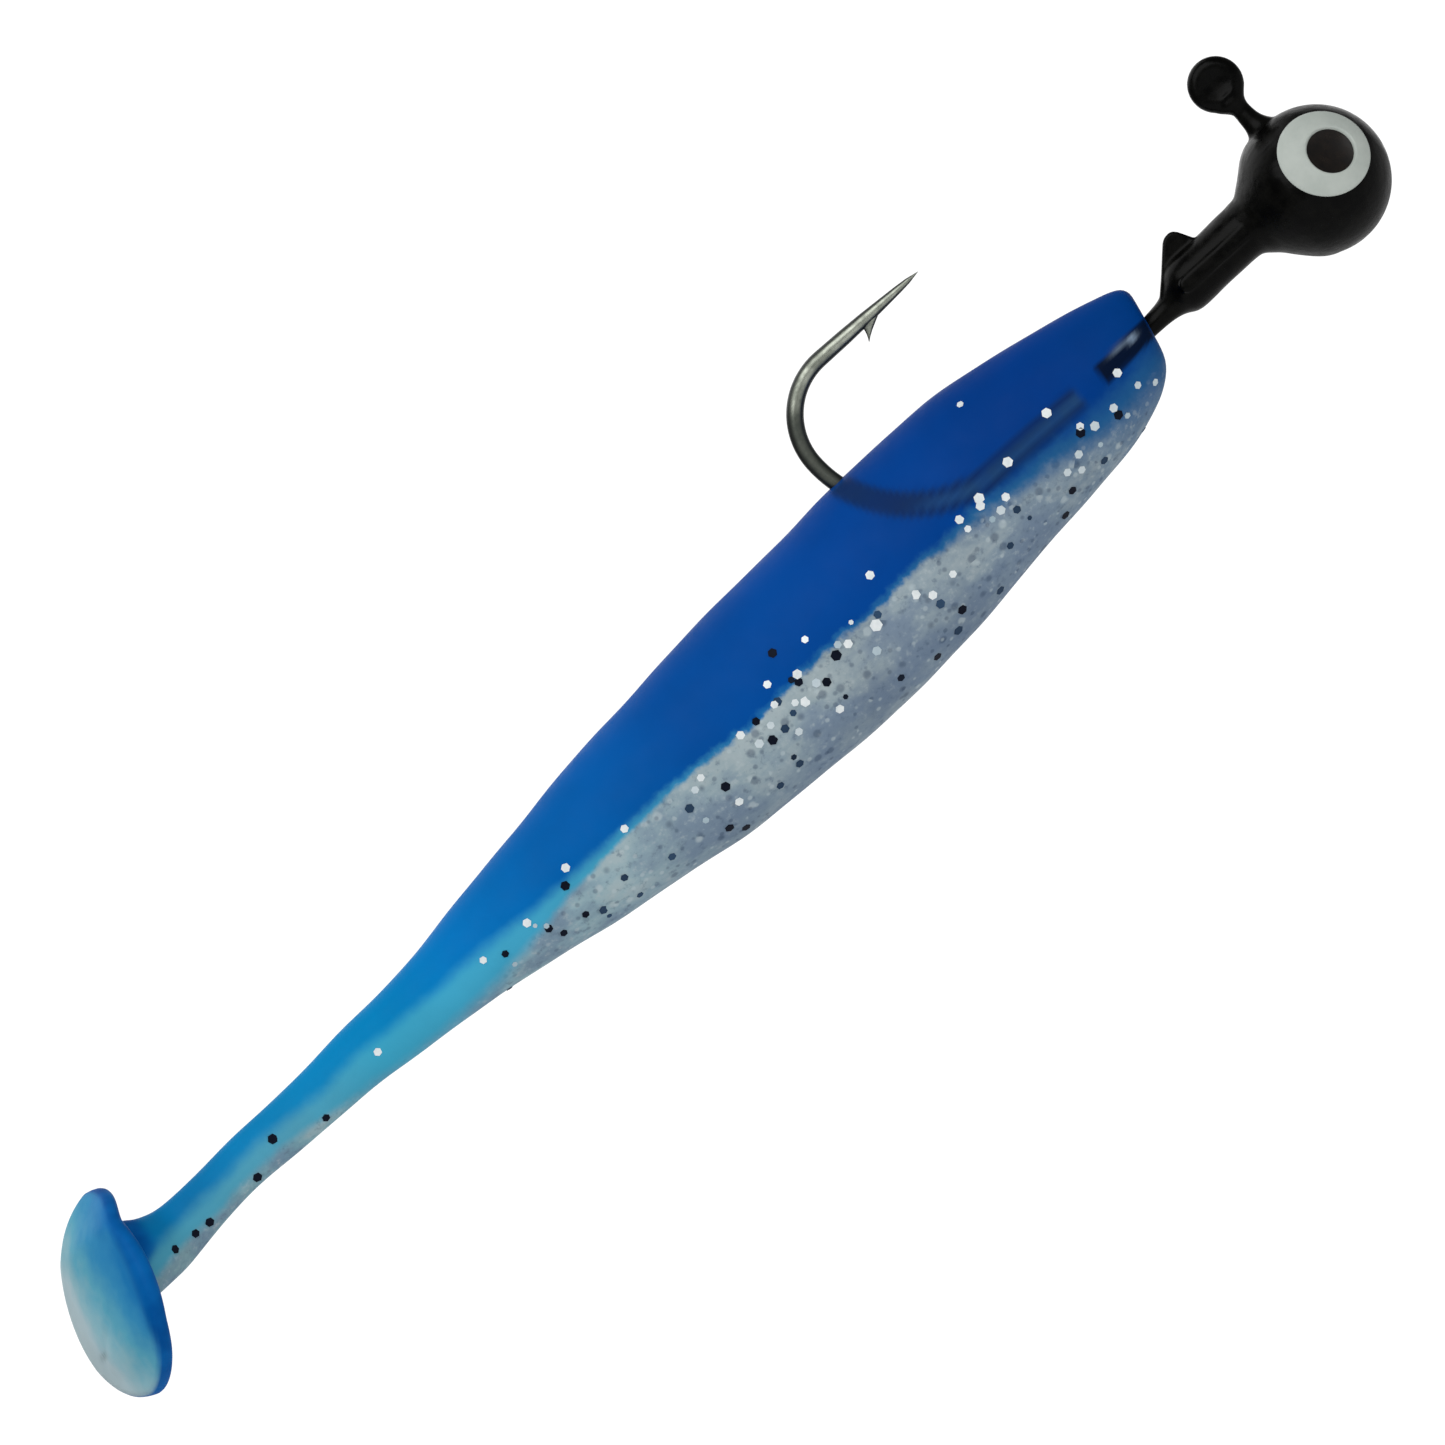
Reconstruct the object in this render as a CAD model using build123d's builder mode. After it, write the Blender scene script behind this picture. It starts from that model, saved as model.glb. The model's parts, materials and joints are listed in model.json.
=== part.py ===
"""A paddle-tail soft swimbait threaded on a ball jig head, as separate pieces.

Millimetres. +Z is up, towards the back of the bait, and +X is forward, past its nose.
The origin is the centre of the line-tie eye, and the XZ plane is the jig's plane of
symmetry. Places along the lure are given from the centre of the ball head: "ahead"
runs along +X and "above" along +Z.
"""

import os
from math import cos, radians, sin, sqrt
from random import Random

from build123d import *

os.makedirs("parts", exist_ok=True)

# ---- jig head ----
BALL_X = 0.7  # the ball's centre, from the line tie
BALL_Z = -9.4
PAINT = 0.12
CAST_R = 5.03  # the bare lead ball
NECK_FRONT = -3.2  # the ball starts to draw down into the collar here
NECK_MIDDLE = (-4.8, 0.35, 2.55)  # halfway down: ahead, above, radius
COLLAR_R = 1.83
COLLAR_ABOVE = 0.7
COLLAR_FRONT = -6.6
COLLAR_REAR = -12.0
TAPER_REAR = -14.3
TAPER_R = 0.74
TAPER_ABOVE = 0.22
SPRUE_ABOVE = 5.75  # the lead stands this high round the leg of the hook
SPRUE_R = 0.74
SPRUE_FOOT_R = 1.15
SPRUE_SUNK = 0.3  # its foot is this far inside the ball
FIN = ((-13.0, 1.0), (-10.3, 3.68), (-9.85, 3.66), (-8.8, 2.0), (-9.0, 1.0))
FIN_WIDTH = 0.9
FIN_ROUND = 0.2
PAD_LENGTH = 6.8  # the flat pad along each side of the collar
PAD_HEIGHT = 1.0
PAD_AHEAD = -8.6
PAD_ABOVE = 0.62
PAD_REACH = 1.86

# ---- eyes ----
EYE_AHEAD, EYE_ABOVE = 0.35, 0.21  # direction of each eye from the ball's centre
EYE_R = 3.15
PUPIL_R = 1.5
RING_THICK = 0.1
SOCKET_FLOOR = 4.45  # from the ball's centre
PUPIL_THICK = 0.3
DISH_R = 8.0  # the pupil's hollow face
DISH_DEPTH = 0.15

# ---- hook ----
WIRE_R = 0.6
RING_R = 1.2  # line-tie ring, on the wire's centre line
TIE_R = 0.8  # its hole
TIE_CLEAR_R = 1.25  # the paint on the ring is worn away inside this
ELBOW_ABOVE = 0.9
ELBOW_R = 2.6
SHANK_KINK = (-22.0, -0.15)
SHANK_KINK_R = 40.0
SHANK_END = (-29.65, -0.05)
BEND_LOW_R, BEND_LOW_TURN = 8.7, 89.3
BEND_HIGH_R, BEND_HIGH_TURN = 5.0, 90.5
SPEAR_REAR_TO_TAPER = 5.1
POINT_LENGTH = 3.8
BARB = ((-0.4, -0.3), (-1.9, -1.35), (-1.6, -0.3))  # from the start of the point
BARB_THICK = 0.5
PAINTED_SHANK_START = -13.3  # inside the collar's taper
PAINTED_SHANK_END = -19.9
CHANNEL_PLAY = 0.05  # round the wire, in the soft plastic

# ---- soft body: (ahead, lowest, highest, half width) ----
NOSE = (-15.8, -0.1)
NOSE_LEAN = 18.0
NOSE_HALF_HEIGHT, NOSE_HALF_WIDTH = 3.2, 2.7
OVALS = (
    (-18.5, -4.25, 4.55, 3.5),
    (-22.5, -5.2, 5.5, 4.2),
    (-28.0, -5.9, 6.4, 4.8),
    (-36.0, -7.05, 6.6, 5.3),
    (-44.0, -7.55, 6.35, 5.4),
    (-52.0, -7.5, 5.85, 5.2),
    (-60.0, -6.75, 5.15, 4.7),
    (-68.0, -5.55, 4.2, 3.9),
    (-76.0, -4.1, 2.95, 2.9),
    (-84.0, -3.15, 1.85, 2.0),
    (-93.0, -2.55, 1.35, 1.35),
    (-103.0, -2.75, 1.0, 1.2),
)
# the laminate's parting line, blue above and pearl below
PARTING = (
    (-12.0, -3.1),
    (-20.0, -2.7),
    (-30.0, -1.7),
    (-40.0, -1.2),
    (-60.0, -1.3),
    (-78.0, -1.2),
    (-90.0, -0.9),
    (-112.0, -1.2),
)
BODY_FLEX = (-58.0, -66.0)  # the stretches that bend, front and rear ends
TAIL_FLEX = (-86.0, -94.0)
STEM_END = OVALS[-1][0]
LAYER_REACH = 12.0  # further above and below than the soft body goes
LAYER_WIDTH = 20.0

# ---- paddle ----
PADDLE_HINGE = -105.0
PADDLE_YAW = 30.0
PADDLE_LEAN = 22.3  # its top leans forward
# ovals from the stem into the plate: (back from the hinge, above, half width, half height)
ROOT_OVALS = (
    (2.0, -0.8, 1.5, 2.3),
    (4.9, -0.75, 1.7, 2.75),
)
ROOT_FOOT = (2.3, 3.3)  # the last one, inside the plate: half width, half height
ROOT_FOOT_SUNK = 0.4
ROOT_FOOT_UP = 1.2  # along the plate from its middle
PLATE_BACK = 7.0  # from the hinge to the middle of the plate's front face
PLATE_ABOVE = -1.85
PLATE_LONG_R, PLATE_WIDE_R = 7.2, 6.2
PLATE_THICK = 2.3  # at the crown of the dome
PLATE_EDGE = 1.4
PLATE_ROUND = 0.4
BLUE_LAYER = 0.75

# ---- glitter ----
FLAKE_R = 0.44
FLAKE_THICK = 0.08
SILVER_DEPTH, BLACK_DEPTH = 0.3, 0.7  # under the skin of the plastic
FLAKE_STAGGER = (0.2, 0.8)  # as shares of the even spacing
FLAKE_BAND = (-0.7, 0.6, -0.1)  # lowest, highest and commonest, as shares of the half height
FLAKE_LEAN = 0.2
PLATE_FLAKE_WIDE, PLATE_FLAKE_LONG = 0.6, 0.65  # as shares of the plate's half width and length
# in the body: (node, seed, count, front, rear, depth)
BODY_FLAKES = (
    ("silver_flakes_front", 11, 40, -19.0, -57.0, SILVER_DEPTH),
    ("black_flakes_front", 12, 26, -20.0, -57.0, BLACK_DEPTH),
    ("silver_flakes_rear", 13, 14, -67.0, -85.0, SILVER_DEPTH),
    ("black_flakes_rear", 14, 14, -67.0, -85.0, BLACK_DEPTH),
    ("black_flakes_stem", 15, 4, -95.0, -102.0, BLACK_DEPTH),
)
# in the paddle: (node, seed, count, depth)
PADDLE_FLAKES = (
    ("silver_flakes_paddle", 16, 3, SILVER_DEPTH),
    ("black_flakes_paddle", 17, 3, BLACK_DEPTH),
)


def side(ahead, above):
    """A point of the plane of symmetry, as its X and Z."""
    return (BALL_X + ahead, BALL_Z + above)


def across(ahead, above, lean=0.0):
    """A plane across the lure, facing forward; lean tips its top forward, in degrees."""
    facing = (cos(radians(lean)), 0, -sin(radians(lean)))
    return Plane((BALL_X + ahead, 0, BALL_Z + above), x_dir=(0, 1, 0), z_dir=facing)


# ---------------------------------------------------------------- hook
def elbow_line(ahead):
    """Height of the shank's straight run behind the elbow."""
    run = SHANK_KINK[0] + BALL_X
    return ELBOW_ABOVE + (SHANK_KINK[1] - ELBOW_ABOVE) * (ahead + BALL_X) / run


with BuildLine(Plane.XZ) as hook_line:
    shank = FilletPolyline(
        (0, -RING_R),
        (0, BALL_Z + ELBOW_ABOVE),
        side(*SHANK_KINK),
        side(*SHANK_END),
        radius=(ELBOW_R, SHANK_KINK_R),
    )
    bend_low = JernArc(shank @ 1, shank % 1, BEND_LOW_R, -BEND_LOW_TURN)
    bend_high = JernArc(bend_low @ 1, bend_low % 1, BEND_HIGH_R, -BEND_HIGH_TURN)
    spear = Line(bend_high @ 1, bend_high @ 1 + (bend_high % 1) * SPEAR_REAR_TO_TAPER)

# the hook's own plane at the start of its point, X towards the tip
spear_plane = Plane(spear @ 1, x_dir=spear % 1, z_dir=(0, -1, 0))


def hook_wire(radius):
    """The bent wire from the line tie to the start of the point."""
    with BuildPart() as wire:
        with BuildSketch(Plane(hook_line.wire() @ 0, z_dir=hook_line.wire() % 0)):
            Circle(radius)
        sweep(path=hook_line.wire())
    return wire.part


def tie_ring(radius, hole):
    """The line-tie ring, with a short straight land in its hole."""
    with BuildPart() as ring:
        with BuildSketch(Plane.XY):
            with Locations((RING_R, 0)):
                Circle(radius)
        revolve(axis=Axis.Y)
        with BuildSketch(Plane.XZ):
            Circle(hole)
        extrude(amount=2 * radius, both=True, mode=Mode.SUBTRACT)
    return ring.part


with BuildPart() as jig_hook:
    add(hook_wire(WIRE_R))
    add(tie_ring(WIRE_R, TIE_R))
    # the needle point
    with BuildSketch(spear_plane):
        with BuildLine():
            ogive = TangentArc((0, WIRE_R), (POINT_LENGTH, 0), tangent=(1, 0))
            Polyline((POINT_LENGTH, 0), (0, 0), (0, WIRE_R))
        make_face()
    revolve(axis=Axis(spear_plane.origin, spear_plane.x_dir))
    # the barb, raised from the inner side of the spear
    with BuildSketch(spear_plane):
        with BuildLine():
            Polyline(*BARB, close=True)
        make_face()
    extrude(amount=BARB_THICK / 2, both=True)
jig_hook.part.label = "jig_hook"
export_step(jig_hook.part, "parts/jig_hook.step")


# ---------------------------------------------------------------- lead head and paint
def casting_outline(skin):
    """The ball, its keeper collar and fin, grown outwards by a skin."""
    with BuildPart() as casting:
        with Locations((BALL_X, 0, BALL_Z)):
            Sphere(CAST_R + skin)
        # the ball draws down into the collar
        for ahead, above, radius in (
            (NECK_FRONT, 0.0, sqrt((CAST_R + skin) ** 2 - NECK_FRONT**2) - skin),
            NECK_MIDDLE,
            (COLLAR_FRONT, COLLAR_ABOVE, COLLAR_R),
        ):
            with BuildSketch(across(ahead, above)):
                Circle(radius + skin)
        loft()
        with BuildSketch(across(COLLAR_REAR, COLLAR_ABOVE)):
            Circle(COLLAR_R + skin)
        extrude(amount=COLLAR_FRONT - COLLAR_REAR)
        # the collar tapers to the shank
        with BuildSketch(across(COLLAR_REAR, COLLAR_ABOVE)):
            Circle(COLLAR_R + skin)
        with BuildSketch(across(TAPER_REAR - skin, TAPER_ABOVE)):
            Circle(TAPER_R + skin)
        loft()
        # a little lead stands up round the leg of the hook
        with BuildSketch(Plane.XY.offset(BALL_Z + CAST_R - SPRUE_SUNK)):
            Circle(SPRUE_FOOT_R + skin)
        with BuildSketch(Plane.XY.offset(BALL_Z + SPRUE_ABOVE + skin)):
            Circle(SPRUE_R + skin)
        loft()
        # the keeper fin on the collar's back
        with BuildSketch(Plane.XZ):
            with BuildLine():
                Polyline(*(side(*corner) for corner in FIN), close=True)
            make_face()
            offset(amount=FIN_ROUND + skin)
        extrude(amount=FIN_WIDTH / 2 + skin, both=True)
        # the flat pad along each side of the collar
        with BuildSketch(Plane.XZ):
            with Locations(side(PAD_AHEAD, PAD_ABOVE)):
                SlotOverall(PAD_LENGTH + 2 * skin, PAD_HEIGHT + 2 * skin)
        extrude(amount=PAD_REACH + skin, both=True)
    return casting.part


def eye_plane(hand):
    """A plane at the ball's centre, facing out through the eye on one side."""
    out = (EYE_AHEAD, hand * sqrt(1 - EYE_AHEAD**2 - EYE_ABOVE**2), EYE_ABOVE)
    return Plane((BALL_X, 0, BALL_Z), z_dir=out)


def eye_sockets():
    """The two round sockets that the pupils sit in."""
    with BuildPart() as sockets:
        for hand in (-1, 1):
            with BuildSketch(eye_plane(hand).offset(SOCKET_FLOOR)):
                Circle(PUPIL_R)
            extrude(amount=CAST_R - SOCKET_FLOOR + 1)
    return sockets.part


bare_wire = hook_wire(WIRE_R)

with BuildPart() as lead_head:
    add(casting_outline(0.0))
    add(bare_wire, mode=Mode.SUBTRACT)
    add(eye_sockets(), mode=Mode.SUBTRACT)
lead_head.part.label = "lead_head"
export_step(lead_head.part, "parts/lead_head.step")

shank_run = Vector(SHANK_KINK[0] + BALL_X, 0, SHANK_KINK[1] - ELBOW_ABOVE)


def painted_stub(radius, rear):
    """The straight painted run of the shank behind the collar."""
    start = side(PAINTED_SHANK_START, elbow_line(PAINTED_SHANK_START))
    run = (PAINTED_SHANK_START - rear) * shank_run.length / -shank_run.X
    with BuildPart() as stub:
        with BuildSketch(Plane((start[0], 0, start[1]), z_dir=shank_run)):
            Circle(radius)
        extrude(amount=run)
    return stub.part


with BuildPart() as paint_coat:
    add(casting_outline(PAINT))
    # the leg of the hook, between the ball and the line tie
    with BuildSketch(Plane.XY.offset(BALL_Z + CAST_R)):
        Circle(WIRE_R + PAINT)
    extrude(amount=-BALL_Z - CAST_R - RING_R)
    add(tie_ring(WIRE_R + PAINT, TIE_CLEAR_R))
    add(painted_stub(WIRE_R + PAINT, PAINTED_SHANK_END))
    add(casting_outline(0.0), mode=Mode.SUBTRACT)
    add(bare_wire, mode=Mode.SUBTRACT)
    add(tie_ring(WIRE_R, TIE_R), mode=Mode.SUBTRACT)
    with BuildSketch(Plane.XZ):
        Circle(TIE_CLEAR_R)
    extrude(amount=2 * WIRE_R, both=True, mode=Mode.SUBTRACT)
    add(eye_sockets(), mode=Mode.SUBTRACT)
paint_coat.part.label = "paint_coat"
export_step(paint_coat.part, "parts/paint_coat.step")

# ---------------------------------------------------------------- eyes
for name, hand in (("left", 1), ("right", -1)):
    with BuildPart() as eye_ring:
        with Locations((BALL_X, 0, BALL_Z)):
            Sphere(CAST_R + PAINT + RING_THICK)
            Sphere(CAST_R + PAINT, mode=Mode.SUBTRACT)
        with BuildSketch(eye_plane(hand)):
            Circle(EYE_R)
            Circle(PUPIL_R, mode=Mode.SUBTRACT)
        extrude(amount=2 * CAST_R, mode=Mode.INTERSECT)
    eye_ring.part.label = f"eye_ring_{name}"
    export_step(eye_ring.part, f"parts/eye_ring_{name}.step")

    with BuildPart() as eye_pupil:
        with BuildSketch(eye_plane(hand).offset(SOCKET_FLOOR)):
            Circle(PUPIL_R)
        extrude(amount=PUPIL_THICK)
        # its face is a shallow dish
        with Locations(eye_plane(hand).offset(SOCKET_FLOOR + PUPIL_THICK - DISH_DEPTH + DISH_R)):
            Sphere(DISH_R, mode=Mode.SUBTRACT)
    eye_pupil.part.label = f"eye_pupil_{name}"
    export_step(eye_pupil.part, f"parts/eye_pupil_{name}.step")

# ---------------------------------------------------------------- soft body
with BuildPart() as bait_blank:
    with BuildSketch(across(*NOSE, lean=NOSE_LEAN)):
        Ellipse(NOSE_HALF_WIDTH, NOSE_HALF_HEIGHT)
    for ahead, low, high, half_width in OVALS:
        with BuildSketch(across(ahead, (low + high) / 2)):
            Ellipse(half_width, (high - low) / 2)
    loft()
    # the channel that the hook was threaded through
    add(hook_wire(WIRE_R + CHANNEL_PLAY), mode=Mode.SUBTRACT)
    add(
        painted_stub(WIRE_R + PAINT + CHANNEL_PLAY, PAINTED_SHANK_END - CHANNEL_PLAY),
        mode=Mode.SUBTRACT,
    )


def laminate(far_side):
    """Everything on one side of the parting line, as a prism along the whole lure."""
    with BuildPart() as prism:
        with BuildSketch(Plane.XZ.offset(-LAYER_WIDTH / 2)):
            with BuildLine():
                Polyline(
                    *(side(*point) for point in PARTING),
                    side(PARTING[-1][0], far_side),
                    side(PARTING[0][0], far_side),
                    close=True,
                )
            make_face()
        extrude(amount=LAYER_WIDTH)
    return prism.part


LAYERS = (("back", laminate(LAYER_REACH)), ("belly", laminate(-LAYER_REACH)))

SEGMENTS = (
    ("front", PARTING[0][0], BODY_FLEX[0]),
    ("body_flex", BODY_FLEX[0], BODY_FLEX[1]),
    ("rear", BODY_FLEX[1], TAIL_FLEX[0]),
    ("tail_flex", TAIL_FLEX[0], TAIL_FLEX[1]),
    ("stem", TAIL_FLEX[1], STEM_END),
)
for segment, front, rear in SEGMENTS:
    for layer, prism in LAYERS:
        with BuildPart() as piece:
            add(bait_blank.part)
            with BuildSketch(across(rear, 0)):
                Circle(LAYER_WIDTH)
            extrude(amount=front - rear, mode=Mode.INTERSECT)
            add(prism, mode=Mode.INTERSECT)
        piece.part.label = f"{layer}_{segment}"
        export_step(piece.part, f"parts/{layer}_{segment}.step")


# ---------------------------------------------------------------- paddle
def swung(back, above, lean=0.0):
    """A plane facing rearward in the paddle's own yawed frame, back from its hinge."""
    yaw = radians(PADDLE_YAW)
    tip = radians(lean)
    rearward = Vector(-cos(yaw), -sin(yaw), 0)
    place = Vector(BALL_X + PADDLE_HINGE, 0, BALL_Z + above) + rearward * back
    facing = rearward * cos(tip) + Vector(0, 0, sin(tip))
    sideways = Vector(-sin(yaw), cos(yaw), 0)
    return Plane(place, x_dir=sideways, z_dir=facing)


stem_low, stem_high, stem_half_width = OVALS[-1][1:]
for layer, prism in LAYERS:
    with BuildPart() as piece:
        with BuildSketch(across(STEM_END, (stem_low + stem_high) / 2)):
            Ellipse(stem_half_width, (stem_high - stem_low) / 2)
        back, above, half_width, half_height = ROOT_OVALS[0]
        with BuildSketch(swung(back, above)):
            Ellipse(half_width, half_height)
        loft()
        add(prism, mode=Mode.INTERSECT)
    piece.part.label = f"{layer}_paddle_flex"
    export_step(piece.part, f"parts/{layer}_paddle_flex.step")

plate = swung(PLATE_BACK, PLATE_ABOVE, PADDLE_LEAN)
dome_r = (PLATE_LONG_R**2) / (2 * (PLATE_THICK - PLATE_EDGE))
with BuildPart() as paddle_blank:
    with BuildSketch(plate):
        Ellipse(PLATE_WIDE_R, PLATE_LONG_R)
    extrude(amount=PLATE_THICK)
    with Locations(plate.offset(PLATE_THICK - dome_r)):
        Sphere(dome_r, mode=Mode.INTERSECT)
    fillet(paddle_blank.faces().sort_by(Axis(plate.origin, plate.z_dir))[0].edges(), PLATE_ROUND)
    # the root flares from the stem into the plate's front face
    for back, above, half_width, half_height in ROOT_OVALS:
        with BuildSketch(swung(back, above)):
            Ellipse(half_width, half_height)
    with BuildSketch(plate.offset(ROOT_FOOT_SUNK)):
        with Locations((0, ROOT_FOOT_UP)):
            Ellipse(*ROOT_FOOT)
    loft()

for layer, keep in (("paddle_blue", Keep.BOTTOM), ("paddle_pearl", Keep.TOP)):
    with BuildPart() as piece:
        add(paddle_blank.part)
        split(bisect_by=plate.offset(BLUE_LAYER), keep=keep)
    piece.part.label = layer
    export_step(piece.part, f"parts/{layer}.step")


# ---------------------------------------------------------------- glitter
def oval_at(ahead):
    """Centre height, half height and half width of the body at one place."""
    for near, far in zip(OVALS, OVALS[1:]):
        if near[0] >= ahead >= far[0]:
            share = (ahead - near[0]) / (far[0] - near[0])
            low, high, half_width = (a + (b - a) * share for a, b in zip(near[1:], far[1:]))
            return (low + high) / 2, (high - low) / 2, half_width


def body_flakes(seed, count, front, rear, depth):
    """Planes for flakes just under both flanks, thickest round the parting line."""
    dice = Random(seed)
    planes = []
    for number in range(count):
        hand = 1 if number % 2 else -1
        ahead = front + (rear - front) * (number + dice.uniform(*FLAKE_STAGGER)) / count
        middle, half_height, half_width = oval_at(ahead)
        tilt = dice.triangular(*FLAKE_BAND)
        above = middle + half_height * tilt
        reach = half_width * sqrt(1 - tilt**2) - depth
        facing = (dice.uniform(-FLAKE_LEAN, FLAKE_LEAN), hand, tilt)
        planes.append(Plane((BALL_X + ahead, hand * reach, BALL_Z + above), z_dir=facing))
    return planes


def paddle_flakes(seed, count, depth):
    """Planes for flakes just under the paddle's domed face."""
    dice = Random(seed)
    planes = []
    for number in range(count):
        wide = dice.uniform(-PLATE_FLAKE_WIDE, PLATE_FLAKE_WIDE) * PLATE_WIDE_R
        long = (2 * (number + 0.5) / count - 1) * PLATE_FLAKE_LONG * PLATE_LONG_R
        spot = plate.from_local_coords((wide, long, PLATE_EDGE - depth))
        planes.append(Plane(spot, z_dir=plate.z_dir))
    return planes


def flakes(node, planes):
    """One group of flakes, a thin hexagon at each plane."""
    with BuildPart() as group:
        with BuildSketch(*planes):
            RegularPolygon(FLAKE_R, 6)
        extrude(amount=FLAKE_THICK / 2, both=True)
    group.part.label = node
    export_step(group.part, f"parts/{node}.step")


for node, *layout in BODY_FLAKES:
    flakes(node, body_flakes(*layout))
for node, *layout in PADDLE_FLAKES:
    flakes(node, paddle_flakes(*layout))
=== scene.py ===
"""The looks of a paddle-tail swimbait on a ball jig head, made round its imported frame.

Places on the lure are in millimetres from the centre of the ball head: "ahead" is +X,
"left" is +Y and "above" is +Z. place() turns them into metres in the row frame.
"""
import json
import math
import random

import bmesh
import bpy
import numpy as np
from mathutils import Matrix, Vector


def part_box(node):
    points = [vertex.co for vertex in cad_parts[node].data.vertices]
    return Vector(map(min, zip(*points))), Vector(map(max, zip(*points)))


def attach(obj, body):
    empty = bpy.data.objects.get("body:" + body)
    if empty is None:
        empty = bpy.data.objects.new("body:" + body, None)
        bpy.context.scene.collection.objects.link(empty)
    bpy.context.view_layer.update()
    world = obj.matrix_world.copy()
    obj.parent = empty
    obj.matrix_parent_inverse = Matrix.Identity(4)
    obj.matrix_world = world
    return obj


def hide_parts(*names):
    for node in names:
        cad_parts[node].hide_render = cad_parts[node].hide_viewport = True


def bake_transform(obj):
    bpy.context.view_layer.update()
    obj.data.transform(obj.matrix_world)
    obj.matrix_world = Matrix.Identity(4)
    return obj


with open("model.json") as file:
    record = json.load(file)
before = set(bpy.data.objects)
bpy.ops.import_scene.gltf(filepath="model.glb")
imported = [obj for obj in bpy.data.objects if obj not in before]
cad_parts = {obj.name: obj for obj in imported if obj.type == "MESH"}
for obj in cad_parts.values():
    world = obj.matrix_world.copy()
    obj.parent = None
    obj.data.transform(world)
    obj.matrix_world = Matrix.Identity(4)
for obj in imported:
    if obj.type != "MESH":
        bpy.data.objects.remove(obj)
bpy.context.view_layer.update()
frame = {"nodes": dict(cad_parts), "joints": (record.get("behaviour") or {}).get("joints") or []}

# ---------------------------------------------------------------- places in the frame
MM = 0.001
head_low, head_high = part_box("lead_head")
CAST_R = (head_high.y - head_low.y) / 2
BALL = Vector((head_high.x - CAST_R, 0, head_low.z + CAST_R))
BALL_R = 5.16
JOINT_AHEAD = {
    j["name"]: (j["pos_m"][0] - BALL.x) / MM for j in frame["joints"] if "pos_m" in j
}


def place(points):
    """Millimetres from the ball's centre, as metres in the row frame."""
    return np.asarray(points, float) * MM + np.array(BALL)


# ---------------------------------------------------------------- curves and meshes
SHARP_ANGLE = math.radians(50)


def natural_spline(knots, values, samples):
    """The smooth curve through values at knots, read at samples."""
    knots, values = np.asarray(knots, float), np.asarray(values, float)
    gap = np.diff(knots)
    slope = np.diff(values, axis=0) / gap[:, None]
    count = len(knots)
    system, right = np.zeros((count, count)), np.zeros_like(values)
    system[0, 0] = system[-1, -1] = 1
    for i in range(1, count - 1):
        system[i, i - 1 : i + 2] = gap[i - 1], 2 * (gap[i - 1] + gap[i]), gap[i]
        right[i] = 6 * (slope[i] - slope[i - 1])
    bend = np.linalg.solve(system, right)
    i = np.clip(np.searchsorted(knots, samples) - 1, 0, count - 2)
    before = (samples - knots[i])[:, None]
    after = (knots[i + 1] - samples)[:, None]
    h = gap[i][:, None]
    return (
        (bend[i] * after**3 + bend[i + 1] * before**3) / (6 * h)
        + (values[i] / h - bend[i] * h / 6) * after
        + (values[i + 1] / h - bend[i + 1] * h / 6) * before
    )


def smoothstep(low, high, x):
    """0 at low and 1 at high, with an easy start and end."""
    t = np.clip((x - low) / (high - low), 0, 1)
    return t * t * (3 - 2 * t)


def hill(*places):
    """1 in the middle, falling smoothly to nearly 0 at two units away."""
    return np.exp(-sum(p**2 for p in places))


def circle(count):
    """Angles evenly round a circle."""
    return np.arange(count) * 2 * math.pi / count


def in_scene(name, data):
    """A new object that holds the data, linked into the scene."""
    thing = bpy.data.objects.new(name, data)
    bpy.context.scene.collection.objects.link(thing)
    return thing


def piece_of(name, points, faces, sharp=SHARP_ANGLE):
    """A smooth-shaded piece from points in millimetres, facing outward all over.
    Its edges are sharp where two faces meet at more than the sharp angle."""
    mesh = bpy.data.meshes.new(name)
    mesh.from_pydata([tuple(p) for p in place([tuple(p) for p in points])], [], faces)
    mesh.update()
    mesh.shade_smooth()
    bm = bmesh.new()
    bm.from_mesh(mesh)
    bmesh.ops.recalc_face_normals(bm, faces=bm.faces)
    for edge in bm.edges:
        edge.smooth = edge.calc_face_angle(0) <= sharp
    bm.to_mesh(mesh)
    bm.free()
    return in_scene(name, mesh)


def band(rows, around, joined=False):
    """Faces between neighbouring rings of points; joined, the last ring meets the first."""
    faces = []
    for i in range(rows if joined else rows - 1):
        for j in range(around):
            n, k = (i + 1) % rows, (j + 1) % around
            faces.append((i * around + j, i * around + k, n * around + k, n * around + j))
    return faces


def caps(rows, around):
    """Faces from the first and last rings to the two middle points that follow them."""
    first, last, end = rows * around, rows * around + 1, (rows - 1) * around
    faces = []
    for j in range(around):
        k = (j + 1) % around
        faces.append((first, k, j))
        faces.append((last, end + j, end + k))
    return faces


def piece_from_rings(name, rings):
    """A closed piece through rings of points (millimetres), capped at both ends."""
    rings = np.asarray(rings)
    rows, around = rings.shape[:2]
    points = [*rings.reshape(-1, 3), rings[0].mean(0), rings[-1].mean(0)]
    return piece_of(name, points, band(rows, around) + caps(rows, around))


def store(piece, name, values):
    """Keeps a number or a vector for each vertex, for the materials to read."""
    values = np.asarray(values, np.float32)
    kind = "FLOAT" if values.ndim == 1 else "FLOAT_VECTOR"
    attribute = piece.data.attributes.new(name, kind, "POINT")
    key = "value" if kind == "FLOAT" else "vector"
    attribute.data.foreach_set(key, values.ravel())


def corners(piece):
    """The piece's vertices, in millimetres from the ball's centre."""
    co = np.zeros(len(piece.data.vertices) * 3)
    piece.data.vertices.foreach_get("co", co)
    return (co.reshape(-1, 3) - np.array(BALL)) / MM


def keep_rest(piece):
    """Stores each vertex's place at rest, so that a pattern stays put when it bends."""
    store(piece, "rest", corners(piece))


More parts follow.
